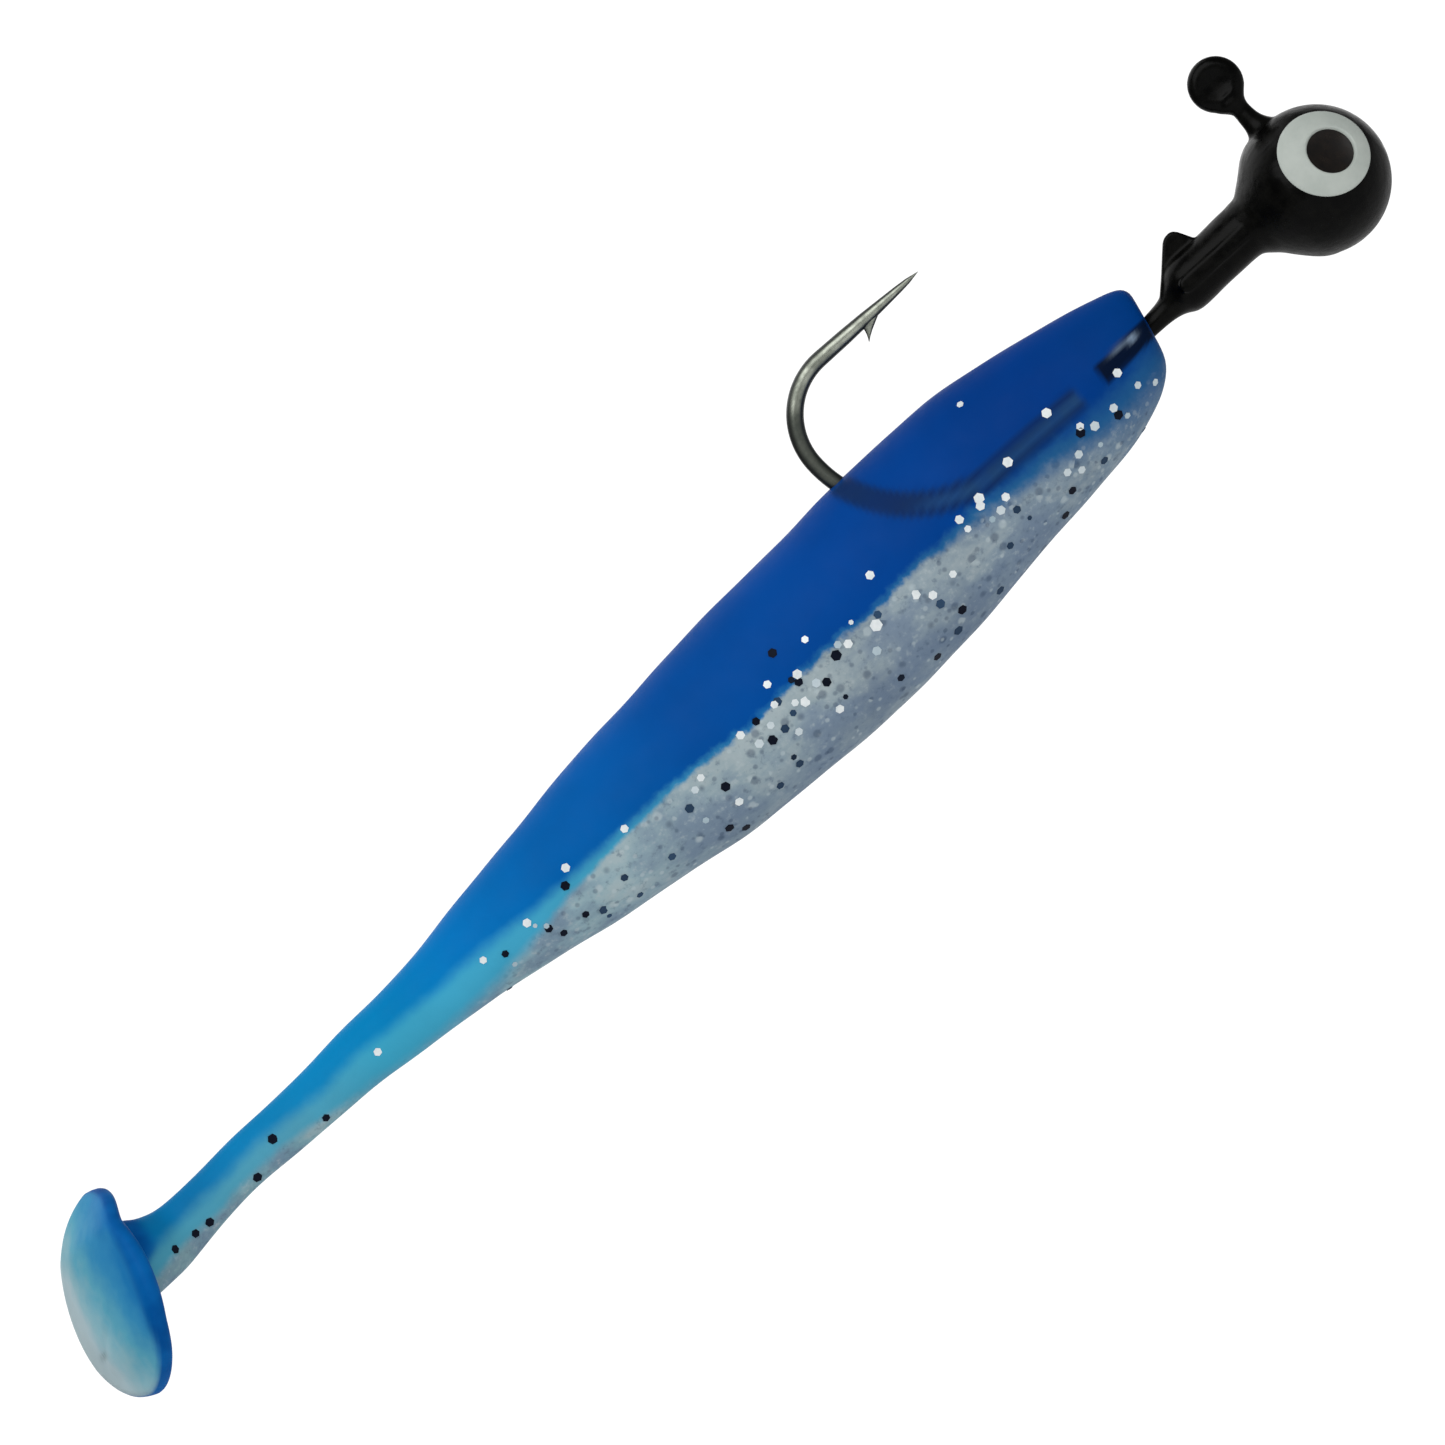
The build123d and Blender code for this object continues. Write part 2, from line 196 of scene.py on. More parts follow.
# ---------------------------------------------------------------- the hook's line
LEFT = np.array((0, 1, 0))
WIRE_AROUND, TIE_AROUND, EYE_AROUND = 28, 72, 96
WIRE_R = 0.6
RING_R = 1.2
TIE = (-0.7, 9.4)
LEG_FOOT = (-0.66, 0.9)
ELBOW_R = 2.6
KINK = (-22.0, -0.15)
SHANK_END = (-29.65, -0.05)
LOW_BEND = (8.7, 89.3)  # radius and turn in degrees
HIGH_BEND = (5.0, 90.5)
SPEAR = 5.1
POINT = 3.85
LINE_STEP = 0.25
RING_POINTS = 40


def straight(start, end, step=LINE_STEP):
    """Points from start up to end, without the end itself."""
    start, end = np.array(start, float), np.array(end, float)
    count = max(2, int(np.linalg.norm(end - start) / step))
    return [start + (end - start) * i / count for i in range(count)]


def arc(start, heading, radius, turn, step=LINE_STEP):
    """A clockwise arc from start: its points, its end, and the heading there (radians)."""
    centre = np.array(start) + radius * np.array((math.sin(heading), -math.cos(heading)))
    count = max(8, int(math.radians(turn) * radius / step))
    points = []
    for i in range(count + 1):
        angle = heading + math.pi / 2 - math.radians(turn) * i / count
        points.append(centre + radius * np.array((math.cos(angle), math.sin(angle))))
    return points[:-1], points[-1], heading - math.radians(turn)


def hook_line():
    """The hook's centre line as (ahead, above) points, and where its point begins."""
    ring_start = math.radians(-75)
    loop = [
        np.array(TIE) + RING_R * np.array((math.cos(a), math.sin(a)))
        for a in np.linspace(ring_start, ring_start + math.radians(345), RING_POINTS)
    ]
    down = -math.pi / 2
    rearward = math.atan2(KINK[1] - LEG_FOOT[1], KINK[0] - LEG_FOOT[0]) % (2 * math.pi) - 2 * math.pi
    turn = down - rearward
    tangent = ELBOW_R * math.tan(turn / 2)
    elbow_start = np.array((LEG_FOOT[0], LEG_FOOT[1] + tangent))
    elbow, elbow_end, _ = arc(elbow_start, down, ELBOW_R, math.degrees(turn))
    shank = [*straight(elbow_end, KINK), *straight(KINK, SHANK_END)]
    heading = math.atan2(SHANK_END[1] - KINK[1], SHANK_END[0] - KINK[0])
    low, low_end, heading = arc(SHANK_END, heading, *LOW_BEND)
    high, high_end, heading = arc(low_end, heading, *HIGH_BEND)
    way = np.array((math.cos(heading), math.sin(heading)))
    spear = straight(high_end, high_end + way * SPEAR)
    point = straight(high_end + way * SPEAR, high_end + way * (SPEAR + POINT), 0.1)
    tip = high_end + way * (SPEAR + POINT)
    line = [*loop, *straight(loop[-1], elbow_start), *elbow, *shank, *low, *high, *spear]
    return np.array([*line, *point, tip]), len(line), way


HOOK_LINE, HOOK_POINT_START, SPEAR_WAY = hook_line()

# ---------------------------------------------------------------- soft body
AROUND = 96
RIB_STEP = 0.28
# body ribs, each across the lure: (ahead, lowest, highest, half width)
BODY_RIBS = (
    (-24.0, -5.45, 5.80, 4.55), (-28.0, -5.90, 6.45, 4.95), (-32.0, -6.35, 6.72, 5.2),
    (-36.0, -7.00, 6.65, 5.35), (-40.0, -7.35, 6.52, 5.4), (-46.0, -7.58, 6.22, 5.35),
    (-52.0, -7.47, 5.85, 5.15), (-58.0, -7.00, 5.36, 4.8), (-64.0, -6.20, 4.72, 4.25),
    (-70.0, -5.22, 3.88, 3.55), (-76.0, -4.15, 2.95, 2.85), (-80.0, -3.56, 2.33, 2.4),
    (-84.0, -3.14, 1.88, 2.0), (-88.0, -2.84, 1.60, 1.7), (-93.0, -2.52, 1.40, 1.4),
    (-98.0, -2.40, 1.27, 1.25), (-101.5, -2.58, 1.05, 1.25),
)
# nose ribs, each leaning forward at its top: (top ahead, top, bottom ahead, bottom, half width)
NOSE_RIBS = (
    (-15.02, 0.65, -15.06, 0.45, 0.1), (-14.80, 2.00, -15.40, -1.00, 1.3),
    (-14.58, 2.66, -15.72, -2.00, 1.95), (-14.66, 3.10, -16.10, -2.60, 2.35),
    (-15.15, 3.60, -17.00, -3.40, 2.8), (-16.60, 4.12, -18.40, -4.15, 3.35),
    (-19.60, 4.85, -20.80, -4.92, 4.0),
)
EGG = 0.10  # how much wider the body is below its middle
PADDLE_YAW = 30.0
PADDLE_LEAN = 22.3
PLATE_BACK = 7.0
PLATE_ABOVE = -1.85
PLATE_SIDE = -0.25  # its middle stands this far to the right of its root
PLATE_LENS = 0.24  # how much more pointed its ends are than an oval's
PLATE_EGG = 0.02
# root ribs: (back from the hinge, lowest, highest, half width, share of the yaw)
ROOT_RIBS = (
    (-0.5, -2.95, 1.0, 1.3, 0.3),
    (1.0, -3.15, 1.2, 1.4, 0.75),
    (2.3, -3.25, 1.62, 1.55, 1.0),
)
# plate ribs: (back from its front face, up its long axis, half length, half width)
PLATE_RIBS = (
    (-2.0, 2.2, 2.95, 1.75), (-1.0, 1.95, 3.3, 2.1), (-0.4, 1.6, 3.85, 2.8),
    (-0.08, 1.1, 5.0, 4.0), (0.02, 0.5, 6.15, 5.3), (0.18, 0.05, 6.93, 6.2),
    (0.45, 0.0, 7.13, 6.5), (0.85, 0.0, 7.15, 6.55), (1.2, 0.0, 7.08, 6.45),
    (1.42, 0.0, 6.85, 6.15), (1.58, 0.0, 6.15, 5.45), (1.85, 0.0, 4.65, 3.95),
    (2.08, 0.0, 2.7, 2.25), (2.18, 0.0, 0.2, 0.15),
)
# its ends curl forward: (where the curl starts up the plate, where it is whole, how far)
CURLS = ((4.1, 7.2, 1.6), (-3.0, -7.3, 0.6))
CURL_EASE = 0.8
CURL_LEFT = 0.35  # the share of the curl that reaches the plate's left edge
# a soft crease across the plate's rear face
CREASE_DEEP, CREASE_WIDE = 0.12, 0.45
CREASE_ALONG, CREASE_SIDE, CREASE_SLANT = -3.0, 2.2, 0.48
SEAM_REAR = (JOINT_AHEAD["body_flex"] + JOINT_AHEAD["tail_flex"]) / 2
SEAM_TAIL = (JOINT_AHEAD["tail_flex"] + JOINT_AHEAD["paddle_flex"]) / 2
TUCK_RINGS, TUCK = 4, 0.03  # a piece's end tucks under the next piece's skin
# where blue meets pearl: (ahead, above)
PARTING = (
    (-14.0, -1.6), (-17.0, -2.2), (-20.0, -2.5), (-25.0, -2.25), (-28.0, -1.85), (-32.0, -1.5),
    (-44.0, -1.4), (-60.0, -1.45), (-72.0, -1.3), (-80.0, -1.15), (-88.0, -1.05), (-98.0, -1.0),
    (-108.0, -1.25),
)


def side_rib(top, bottom, half_width, egg=0.0, lens=0.0, side=0.0):
    """A rib: its centre, its upward and sideways half axes, and its egg and lens shape."""
    (top_x, top_z), (low_x, low_z) = top, bottom
    return np.array((
        (top_x + low_x) / 2, side, (top_z + low_z) / 2,
        (top_x - low_x) / 2, 0, (top_z - low_z) / 2,
        0, half_width, 0, egg, lens,
    ))


def yawed(rib, degrees):
    """The rib turned about the paddle's hinge; its rear turns to the right."""
    turn = np.array(Matrix.Rotation(math.radians(degrees), 3, "Z"))
    hinge = np.array((JOINT_AHEAD["paddle_flex"], 0, 0))
    centre = turn @ (rib[:3] - hinge) + hinge
    return np.array((*centre, *(turn @ rib[3:6]), *(turn @ rib[6:9]), *rib[9:]))


def plate_rib(back, up, half_length, half_width):
    """A rib of the paddle, in its own leaning plane, before its yaw."""
    lean = math.radians(PADDLE_LEAN)
    along = np.array((math.sin(lean), math.cos(lean)))
    rearward = np.array((-math.cos(lean), math.sin(lean)))
    middle = np.array((JOINT_AHEAD["paddle_flex"] - PLATE_BACK, PLATE_ABOVE))
    centre = middle + rearward * back + along * up
    share = float(smoothstep(-1.2, 0.2, back))
    return side_rib(
        centre + along * half_length,
        centre - along * half_length,
        half_width,
        PLATE_EGG * share,
        PLATE_LENS * share,
        PLATE_SIDE * share,
    )


def all_ribs():
    """Every rib from the nose to the paddle's crown, in order."""
    hinge = JOINT_AHEAD["paddle_flex"]
    ribs = [side_rib(r[0:2], r[2:4], r[4], EGG) for r in NOSE_RIBS]
    for ahead, low, high, half_width in BODY_RIBS:
        fade = float(smoothstep(-95, -70, ahead))
        ribs.append(side_rib((ahead, high), (ahead, low), half_width, EGG * fade))
    for back, low, high, half_width, share in ROOT_RIBS:
        rib = side_rib((hinge - back, high), (hinge - back, low), half_width)
        ribs.append(yawed(rib, PADDLE_YAW * share))
    ribs += [yawed(plate_rib(*row), PADDLE_YAW) for row in PLATE_RIBS]
    return np.array(ribs)


def body_rings():
    """Rings of points from the nose to the crown of the paddle, and each ring's key."""
    ribs = all_ribs()
    reach = np.hstack([ribs[:, :3], 0.7 * ribs[:, 3:6], 0.7 * ribs[:, 6:9]])
    knots = np.concatenate([[0], np.cumsum(np.linalg.norm(np.diff(reach, axis=0), axis=1))])
    samples = np.linspace(0, knots[-1], int(knots[-1] / RIB_STEP))
    fine = natural_spline(knots, ribs, samples)
    angle = circle(AROUND)
    up = np.sin(angle)[None, :, None]
    narrow = np.abs(np.cos(angle))[None, :, None] ** (1 + fine[:, None, 10:11])
    out = np.sign(np.cos(angle))[None, :, None] * narrow
    egg = 1 - fine[:, None, 9:10] * up
    rings = fine[:, None, :3] + up * fine[:, None, 3:6] + out * egg * fine[:, None, 6:9]
    plate_start = knots[len(ribs) - len(PLATE_RIBS)]
    return rings, samples, plate_start, angle


RINGS, RING_KEYS, PLATE_KEY, RING_ANGLE = body_rings()


def plate_places(points):
    """Each point's place in the plate's own axes: sideways, along and back."""
    yaw, lean = math.radians(PADDLE_YAW), math.radians(PADDLE_LEAN)
    turn = np.array(Matrix.Rotation(yaw, 3, "Z"))
    hinge = np.array((JOINT_AHEAD["paddle_flex"], 0, 0))
    local = (points - hinge) @ turn
    local = local - np.array((-PLATE_BACK, 0, PLATE_ABOVE))
    along = local[..., 0] * math.sin(lean) + local[..., 2] * math.cos(lean)
    back = -local[..., 0] * math.cos(lean) + local[..., 2] * math.sin(lean)
    return local[..., 1], along, back


def curl_ends():
    """Curls both ends of the paddle forward, and presses a soft crease in its face."""
    on_plate = RING_KEYS > PLATE_KEY
    points = RINGS[on_plate]
    sideways, along, back = PLATE_AT[:, on_plate]
    forward = 0
    for start, whole, reach in CURLS:
        share = smoothstep(0, 1, (along - start) / (whole - start))
        forward = forward + reach * share**CURL_EASE
    rightward = CURL_LEFT + (1 - CURL_LEFT) * smoothstep(3.4, -1.6, sideways)
    forward = forward * smoothstep(-0.5, 0.1, back) * rightward
    slant = CREASE_SLANT * (sideways - CREASE_SIDE)
    crease = CREASE_DEEP * hill((along - CREASE_ALONG + slant) / CREASE_WIDE)
    crease *= smoothstep(1.3, 1.6, back) * smoothstep(-3.6, 1.0, sideways)
    crease *= smoothstep(3.6, 2.6, sideways)
    yaw = math.radians(PADDLE_YAW)
    points[..., 0] += (forward + crease) * math.cos(yaw)
    points[..., 1] += (forward + crease) * math.sin(yaw)
    RINGS[on_plate] = points


PLATE_AT = np.array(plate_places(RINGS))  # before the curl
curl_ends()


SWELL_SEED, SWELLS, SWELL_HEIGHT = 5, 14, 0.013


def ripple():
    """The casting isn't quite even: long low swells along both flanks."""
    dice = random.Random(SWELL_SEED)
    middle = RINGS.mean(1, keepdims=True)
    outward = RINGS - middle
    size = np.linalg.norm(outward, axis=2, keepdims=True)
    swell = np.zeros(RINGS.shape[:2])
    for _ in range(SWELLS):
        pitch, phase = dice.uniform(5, 17), dice.uniform(0, 6.3)
        lobes = dice.choice((1, 2, 3))
        swell += np.sin(RINGS[:, :, 0] * 2 * math.pi / pitch + phase + lobes * RING_ANGLE[None, :])
    calm = smoothstep(0, 6, RING_KEYS) * (1 - smoothstep(PLATE_KEY - 10, PLATE_KEY, RING_KEYS))
    lift = (SWELL_HEIGHT * swell * calm[:, None])[:, :, None]
    RINGS[:] = RINGS + outward / np.maximum(size, 0.01) * lift


ripple()


NOSE, TAIL_END = -14.0, -110.0
HOOK_OUT = 7.5  # higher than this, the hook stands clear of the back
SEEN_CORE, SEEN_END = 0.45, 0.95  # the painted shade of the seen wire is whole out to here, and gone by there
SEEN_EDGE, SEEN_EDGE_WIDE = 0.6, 0.3  # its painted dark edges
SEEN_FROM = (21.6, 22.3)  # how far back the painted shade of the bare wire begins to show
STUB_CORE, STUB_END = 0.58, 0.86  # the darker painted shade over the black-painted stub ahead of it
STUB_UPTO = (19.7, 20.1)
OVER_WIDE = 0.7
PLATE_EDGE_LONG, PLATE_EDGE_WIDE = 7.4, 6.4  # half sizes of the oval inside the blue rim
FADE_WIDE, FADE_LONG, FADE_LEAN = 5.6, 7.2, 0.4
FOLD_ALONG, FOLD_SIDE = -3.0, 2.3  # where the painted shade at the end of the crease lies
# painted highlights where the wire goes into the nose: (ahead, above, long, thin, bright)
PAINTED_GLINTS = (
    (-17.7, 0.62, 0.75, 0.13, 0.45),
    (-16.6, 0.42, 0.4, 0.17, 0.8),
)


def line_distance(points, line):
    """Least distance in the side plane from each point to a line of points."""
    least = np.full(len(points), 1e9)
    where = np.zeros(len(points))
    flat = points[:, [0, 2]]
    for a, b in zip(line[:-1], line[1:]):
        run = b - a
        share = np.clip(((flat - a) @ run) / (run @ run), 0, 1)
        gap = np.linalg.norm(flat - a - share[:, None] * run, axis=1)
        nearer = gap < least
        least = np.where(nearer, gap, least)
        where = np.where(nearer, (a + share[:, None] * run)[:, 0], where)
    return least, where


def hook_keys(piece, at):
    """Stores painted shade where the hook and its painted stub would show through the plastic, and
    painted highlights at the nose.
    """
    within = (HOOK_LINE[:, 0] < NOSE) & (HOOK_LINE[:, 1] < HOOK_OUT)
    gap, where = line_distance(at, HOOK_LINE[within])
    # the painted shade lies on the flanks, and on the back only right over the wire
    facing = np.abs(np.array([v.normal.y for v in piece.data.vertices]))
    over = np.maximum(smoothstep(0.2, 0.5, facing), hill(at[:, 1] / OVER_WIDE))
    shows = smoothstep(*SEEN_FROM, -where) * over
    core = 1 - smoothstep(SEEN_CORE, SEEN_END, gap)
    edge = np.maximum(hill((gap - SEEN_EDGE) / SEEN_EDGE_WIDE), core * smoothstep(0.6, 2.4, at[:, 2]))
    store(piece, "painted_wire_shade", core * shows)
    store(piece, "painted_wire_edge_shade", edge * shows)
    stub = (1 - smoothstep(STUB_CORE, STUB_END, gap)) * (1 - smoothstep(*STUB_UPTO, -at[:, 0]))
    store(piece, "painted_stub_shade", stub * over)
    # painted highlights where the wire goes into the nose
    painted_glint = np.zeros(len(at))
    for ahead, above, long, thin, bright in PAINTED_GLINTS:
        painted_glint += bright * hill((at[:, 0] - ahead) / long, (at[:, 2] - above) / thin)
    store(piece, "painted_glint", np.clip(painted_glint, 0, 1))


def plate_keys(piece, at, plate_at):
    """Stores where the paddle's blue rim and its paler rear face lie, and the painted shade in its
    crease.
    """
    sideways, along, back = plate_at
    on_plate = smoothstep(1.0, 2.2, JOINT_AHEAD["paddle_flex"] - at[:, 0])
    under = smoothstep(-0.5, -1.7, at[:, 2])
    store(piece, "plate", smoothstep(-3.9, -2.1, back - 1.7 * under) * on_plate)
    oval = np.sqrt(np.clip(1 - (along / PLATE_EDGE_LONG) ** 2, 0, 1))
    from_edge = sideways + 0.07 * along + PLATE_EDGE_WIDE * oval
    from_edge += 0.45 * smoothstep(-1.0, -4.5, along)  # the rim is narrower in the lower half
    face = smoothstep(1.1, 1.45, back) * smoothstep(0.1, 1.1, from_edge)
    store(piece, "face", face * on_plate)
    store(piece, "face_fade", sideways / FADE_WIDE - FADE_LEAN * along / FADE_LONG)
    fold_shade = hill((along - FOLD_ALONG) / 0.2, (sideways - FOLD_SIDE) / 0.8)
    store(piece, "painted_fold_shade", fold_shade * on_plate)


def colour_keys(piece, plate_at):
    """Stores what the laminate's material reads: heights, lengths, and what lies inside."""
    at = corners(piece)
    keep_rest(piece)
    line = natural_spline(*zip(*((-a, (w,)) for a, w in PARTING)), -at[:, 0])[:, 0]
    store(piece, "above_parting", at[:, 2] - line)
    store(piece, "along", np.clip((at[:, 0] - NOSE) / (TAIL_END - NOSE), 0, 1))
    hook_keys(piece, at)
    plate_keys(piece, at, plate_at)


def soft_piece(name, first, last, tuck):
    """One stretch of the soft body, between two seams, tucked under the next one."""
    rings = RINGS[first : last + 1].copy()
    if tuck:
        middle = rings[-TUCK_RINGS:].mean(1, keepdims=True)
        size = np.linalg.norm(rings[-TUCK_RINGS:] - middle, axis=2, keepdims=True)
        share = np.linspace(1 / TUCK_RINGS, 1, TUCK_RINGS)[:, None, None]
        rings[-TUCK_RINGS:] -= (rings[-TUCK_RINGS:] - middle) / size * TUCK * share
    piece = piece_from_rings(name, rings)
    plate_at = PLATE_AT[:, first : last + 1]
    ends = plate_at[:, [0, -1]].mean(2)
    colour_keys(piece, np.concatenate([plate_at.reshape(3, -1), ends], axis=1))
    return piece


def ring_at(ahead):
    """The number of the ring nearest to a station."""
    return int(np.argmin(np.abs(RINGS.mean(1)[:, 0] - ahead) + 99 * (RING_KEYS < 8)))


seam_rear, seam_tail = ring_at(SEAM_REAR), ring_at(SEAM_TAIL)
soft_front = soft_piece("soft_front", 0, seam_rear + TUCK_RINGS, True)
soft_rear = soft_piece("soft_rear", seam_rear, seam_tail + TUCK_RINGS, True)
soft_tail = soft_piece("soft_tail", seam_tail, len(RINGS) - 1, False)

# ---------------------------------------------------------------- glitter
FLAKE_THICK = 0.05
FLAKE_PROUD = 0.03
FLAKE_TILT = 0.05
FLAKE_FARTHEST = 0.6  # a spot farther than this from the skin gets no flake
OTHER_SIDE = 50  # added to a distance to keep a flake on its own flank
SCATTER_COUNT = 60
# flakes seen clearly on the right flank: (ahead, above, radius)
SILVER_SEEN = (
    (-19.0, -0.6, 0.34), (-24.3, 0.7, 0.37), (-28.3, 4.85, 0.26), (-28.5, -0.25, 0.38),
    (-30.1, -1.6, 0.32), (-31.6, -0.7, 0.39), (-31.85, -1.05, 0.34), (-33.7, -0.7, 0.33),
    (-33.7, -1.75, 0.26), (-36.3, -3.4, 0.28), (-38.4, -3.25, 0.33), (-39.1, -2.5, 0.35),
    (-40.6, 0.4, 0.33), (-42.5, -2.3, 0.45), (-44.7, -2.1, 0.33), (-46.8, 0.0, 0.27),
    (-48.7, -1.0, 0.35), (-48.2, -4.8, 0.33), (-49.6, -3.1, 0.37), (-50.8, -0.5, 0.3),
    (-51.2, -1.6, 0.28), (-54.3, -1.6, 0.32), (-57.5, -5.0, 0.32), (-58.3, -2.0, 0.28),
    (-64.3, -1.1, 0.3), (-69.1, -0.25, 0.33), (-73.6, -1.4, 0.32), (-77.4, -1.2, 0.27),
    (-87.0, -1.0, 0.3),
)
BLACK_SEEN = (
    (-20.7, -2.8, 0.36), (-23.6, -2.0, 0.37), (-26.4, -4.6, 0.33), (-28.0, -5.5, 0.35),
    (-37.5, -5.5, 0.37), (-41.0, -6.7, 0.33), (-45.8, -2.2, 0.4), (-47.5, -2.8, 0.34),
    (-49.1, 0.9, 0.35), (-49.0, -1.5, 0.32), (-52.9, -3.5, 0.37), (-53.0, -1.8, 0.3),
    (-57.3, -3.4, 0.36), (-59.0, -5.9, 0.35), (-58.4, -6.5, 0.34), (-70.0, -1.3, 0.35),
    (-72.9, -2.6, 0.31), (-72.2, -3.5, 0.28), (-70.2, -3.7, 0.28), (-76.2, -1.9, 0.27),
    (-92.8, -2.05, 0.3), (-96.2, -0.7, 0.37), (-98.8, -1.85, 0.36), (-103.3, -2.0, 0.34),
    (-104.5, -1.95, 0.31), (-106.3, -1.75, 0.32),
)
# and the fainter ones, tinted as if they lay deeper in the plastic
SILVER_DEEP = (
    (-17.4, -2.8, 0.28), (-18.5, -2.3, 0.28), (-20.6, -2.2, 0.32), (-22.6, -2.4, 0.36),
    (-24.6, -3.05, 0.32), (-25.0, -4.0, 0.3), (-26.0, -3.5, 0.3), (-31.2, -2.1, 0.34),
    (-53.8, -2.8, 0.33), (-52.3, -2.7, 0.28), (-51.2, -4.2, 0.3), (-59.2, -2.4, 0.28),
)
BLACK_DEEP = (
    (-30.1, -2.9, 0.3), (-32.3, -4.4, 0.28), (-34.7, -6.2, 0.36), (-38.6, -6.3, 0.38),
    (-23.5, -4.4, 0.32), (-51.9, -3.5, 0.32), (-54.6, -6.1, 0.3), (-52.6, -5.9, 0.32),
    (-60.2, -3.0, 0.34), (-107.7, -2.7, 0.24),
)


def flake_scatter(seed, count, spans):
    """Random flakes on both flanks: spans are (front, rear, share, lowest, highest)."""
    dice = random.Random(seed)
    spots = []
    for front, rear, share, low, high in spans:
        for side, kept in ((-1, 0.5), (1, 1.2)):
            for _ in range(int(count * share * kept)):
                ahead = dice.uniform(front, rear)
                above = dice.triangular(low, high, (low + high) / 2)
                radius, deep = dice.uniform(0.16, 0.36), dice.uniform(0.35, 1.0)
                spots.append((ahead, above, radius, side, deep))
    return spots


SILVER_SPANS = (
    (-20, -42, 0.16, -4.4, 0.0),
    (-42, -60, 0.2, -6.0, -0.6),
    (-60, -78, 0.1, -4.2, -0.8),
)
BLACK_SPANS = (
    (-18, -42, 0.1, -6.6, -2.2),
    (-42, -60, 0.24, -7.2, -0.9),
    (-60, -78, 0.2, -5.6, -1.4),
)


def flakes_on(piece, name, spots, turn_seed):
    """Hexagonal flakes lying in the skin of one soft piece, one mesh for them all."""
    dice = random.Random(turn_seed)
    at = corners(piece)
    normals = np.array([v.normal for v in piece.data.vertices])
    points, faces, buried = [], [], []
    for ahead, above, radius, side, deep in spots:
        same_side = np.where(at[:, 1] * side > 0, 0, OTHER_SIDE)
        gap = np.hypot(at[:, 0] - ahead, at[:, 2] - above) + same_side
        nearest = int(np.argmin(gap))
        if gap[nearest] > FLAKE_FARTHEST:
            continue
        tilt = Vector([dice.gauss(0, FLAKE_TILT) for _ in range(3)])
        normal = (Vector(normals[nearest]) + tilt).normalized()
        across = normal.cross(Vector((dice.uniform(-1, 1), 0.1, 1))).normalized()
        along = normal.cross(across)
        middle = Vector(at[nearest]) + normal * FLAKE_PROUD
        start = len(points)
        for lift in (-FLAKE_THICK, 0):
            for corner in range(6):
                angle = corner * math.pi / 3
                spoke = across * math.cos(angle) + along * math.sin(angle)
                points.append(middle + spoke * radius + normal * lift)
        faces.append([start + i for i in range(5, -1, -1)])
        faces.append([start + 6 + i for i in range(6)])
        for i in range(6):
            k = (i + 1) % 6
            faces.append((start + i, start + k, start + 6 + k, start + 6 + i))
        buried += [deep] * 12
    mesh = bpy.data.meshes.new(name)
    mesh.from_pydata([tuple(p) for p in place([tuple(p) for p in points])], [], faces)
    mesh.update()
    flakes = in_scene(name, mesh)
    store(flakes, "buried", buried)
    keep_rest(flakes)
    return flakes


def between(spots, front, rear):
    """The spots that lie on one stretch of the body."""
    return [spot for spot in spots if front >= spot[0] > rear]


# each flake is (ahead, above, radius, side, how far it is tinted)
STEM_SILVER = [(-101.0, -1.5, 0.32, 1, 0.1), (-104.4, -1.3, 0.26, 1, 0.4)]
silver = STEM_SILVER + [(*spot, -1, 0.6) for spot in SILVER_DEEP]
silver += [(*spot, -1, 0.1) for spot in SILVER_SEEN]
silver += flake_scatter(31, SCATTER_COUNT, SILVER_SPANS)
black = [(*spot, -1, 0.7) for spot in BLACK_DEEP] + [(*spot, -1, 0.1) for spot in BLACK_SEEN]
black += flake_scatter(32, SCATTER_COUNT, BLACK_SPANS)
STRETCHES = (
    ("front", soft_front, 0.0, SEAM_REAR),
    ("rear", soft_rear, SEAM_REAR, SEAM_TAIL),
    ("tail", soft_tail, SEAM_TAIL, -math.inf),
)
silver_pieces, black_pieces = {}, {}
for number, (stretch, piece, front, rear) in enumerate(STRETCHES):
    silver_pieces[stretch] = flakes_on(
        piece, f"silver_glitter_{stretch}", between(silver, front, rear), 40 + number
    )
    black_pieces[stretch] = flakes_on(
        piece, f"black_glitter_{stretch}", between(black, front, rear), 50 + number
    )

# ---------------------------------------------------------------- tubes and turned pieces
def tube(name, line, radii, around=WIRE_AROUND):
    """A closed tube along (ahead, above) points, with a radius at each."""
    line = np.asarray(line, float)
    run = np.gradient(line, axis=0)
    run /= np.linalg.norm(run, axis=1, keepdims=True)
    rings = []
    for (ahead, above), (dx, dz), radius in zip(line, run, radii):
        up = np.array((-dz, 0, dx))
        rings.append([
            np.array((ahead, 0, above))
            + radius * (math.cos(a) * up + math.sin(a) * LEFT)
            for a in circle(around)
        ])
    return piece_from_rings(name, rings)


def eye_axes(axis, hand):
    """Three square directions: out along an eye's axis, and two across it.
    The axis is how far ahead and above it points; hand is 1 for left and -1 for right."""
    along = Vector((axis[0], hand * math.sqrt(1 - axis[0] ** 2 - axis[1] ** 2), axis[1]))
    across = along.cross(Vector((0, 0, 1))).normalized()
    return along, across, along.cross(across)


def turned(name, profile, axis, hand):
    """A solid turned about an eye's axis: (out, along) points, both ends on the axis."""
    along, across, third = eye_axes(axis, hand)
    points = [
        along * height + (across * math.cos(a) + third * math.sin(a)) * out
        for out, height in profile[1:-1]
        for a in circle(EYE_AROUND)
    ]
    points += [along * profile[0][1], along * profile[-1][1]]
    rows = len(profile) - 2
    return piece_of(name, points, band(rows, EYE_AROUND) + caps(rows, EYE_AROUND))


def apply_all(piece):
    """Turns the piece's modifiers into mesh."""
    graph = bpy.context.evaluated_depsgraph_get()
    mesh = bpy.data.meshes.new_from_object(piece.evaluated_get(graph))
    piece.modifiers.clear()
    old, piece.data = piece.data, mesh
    mesh.name = piece.name
    bpy.data.meshes.remove(old)


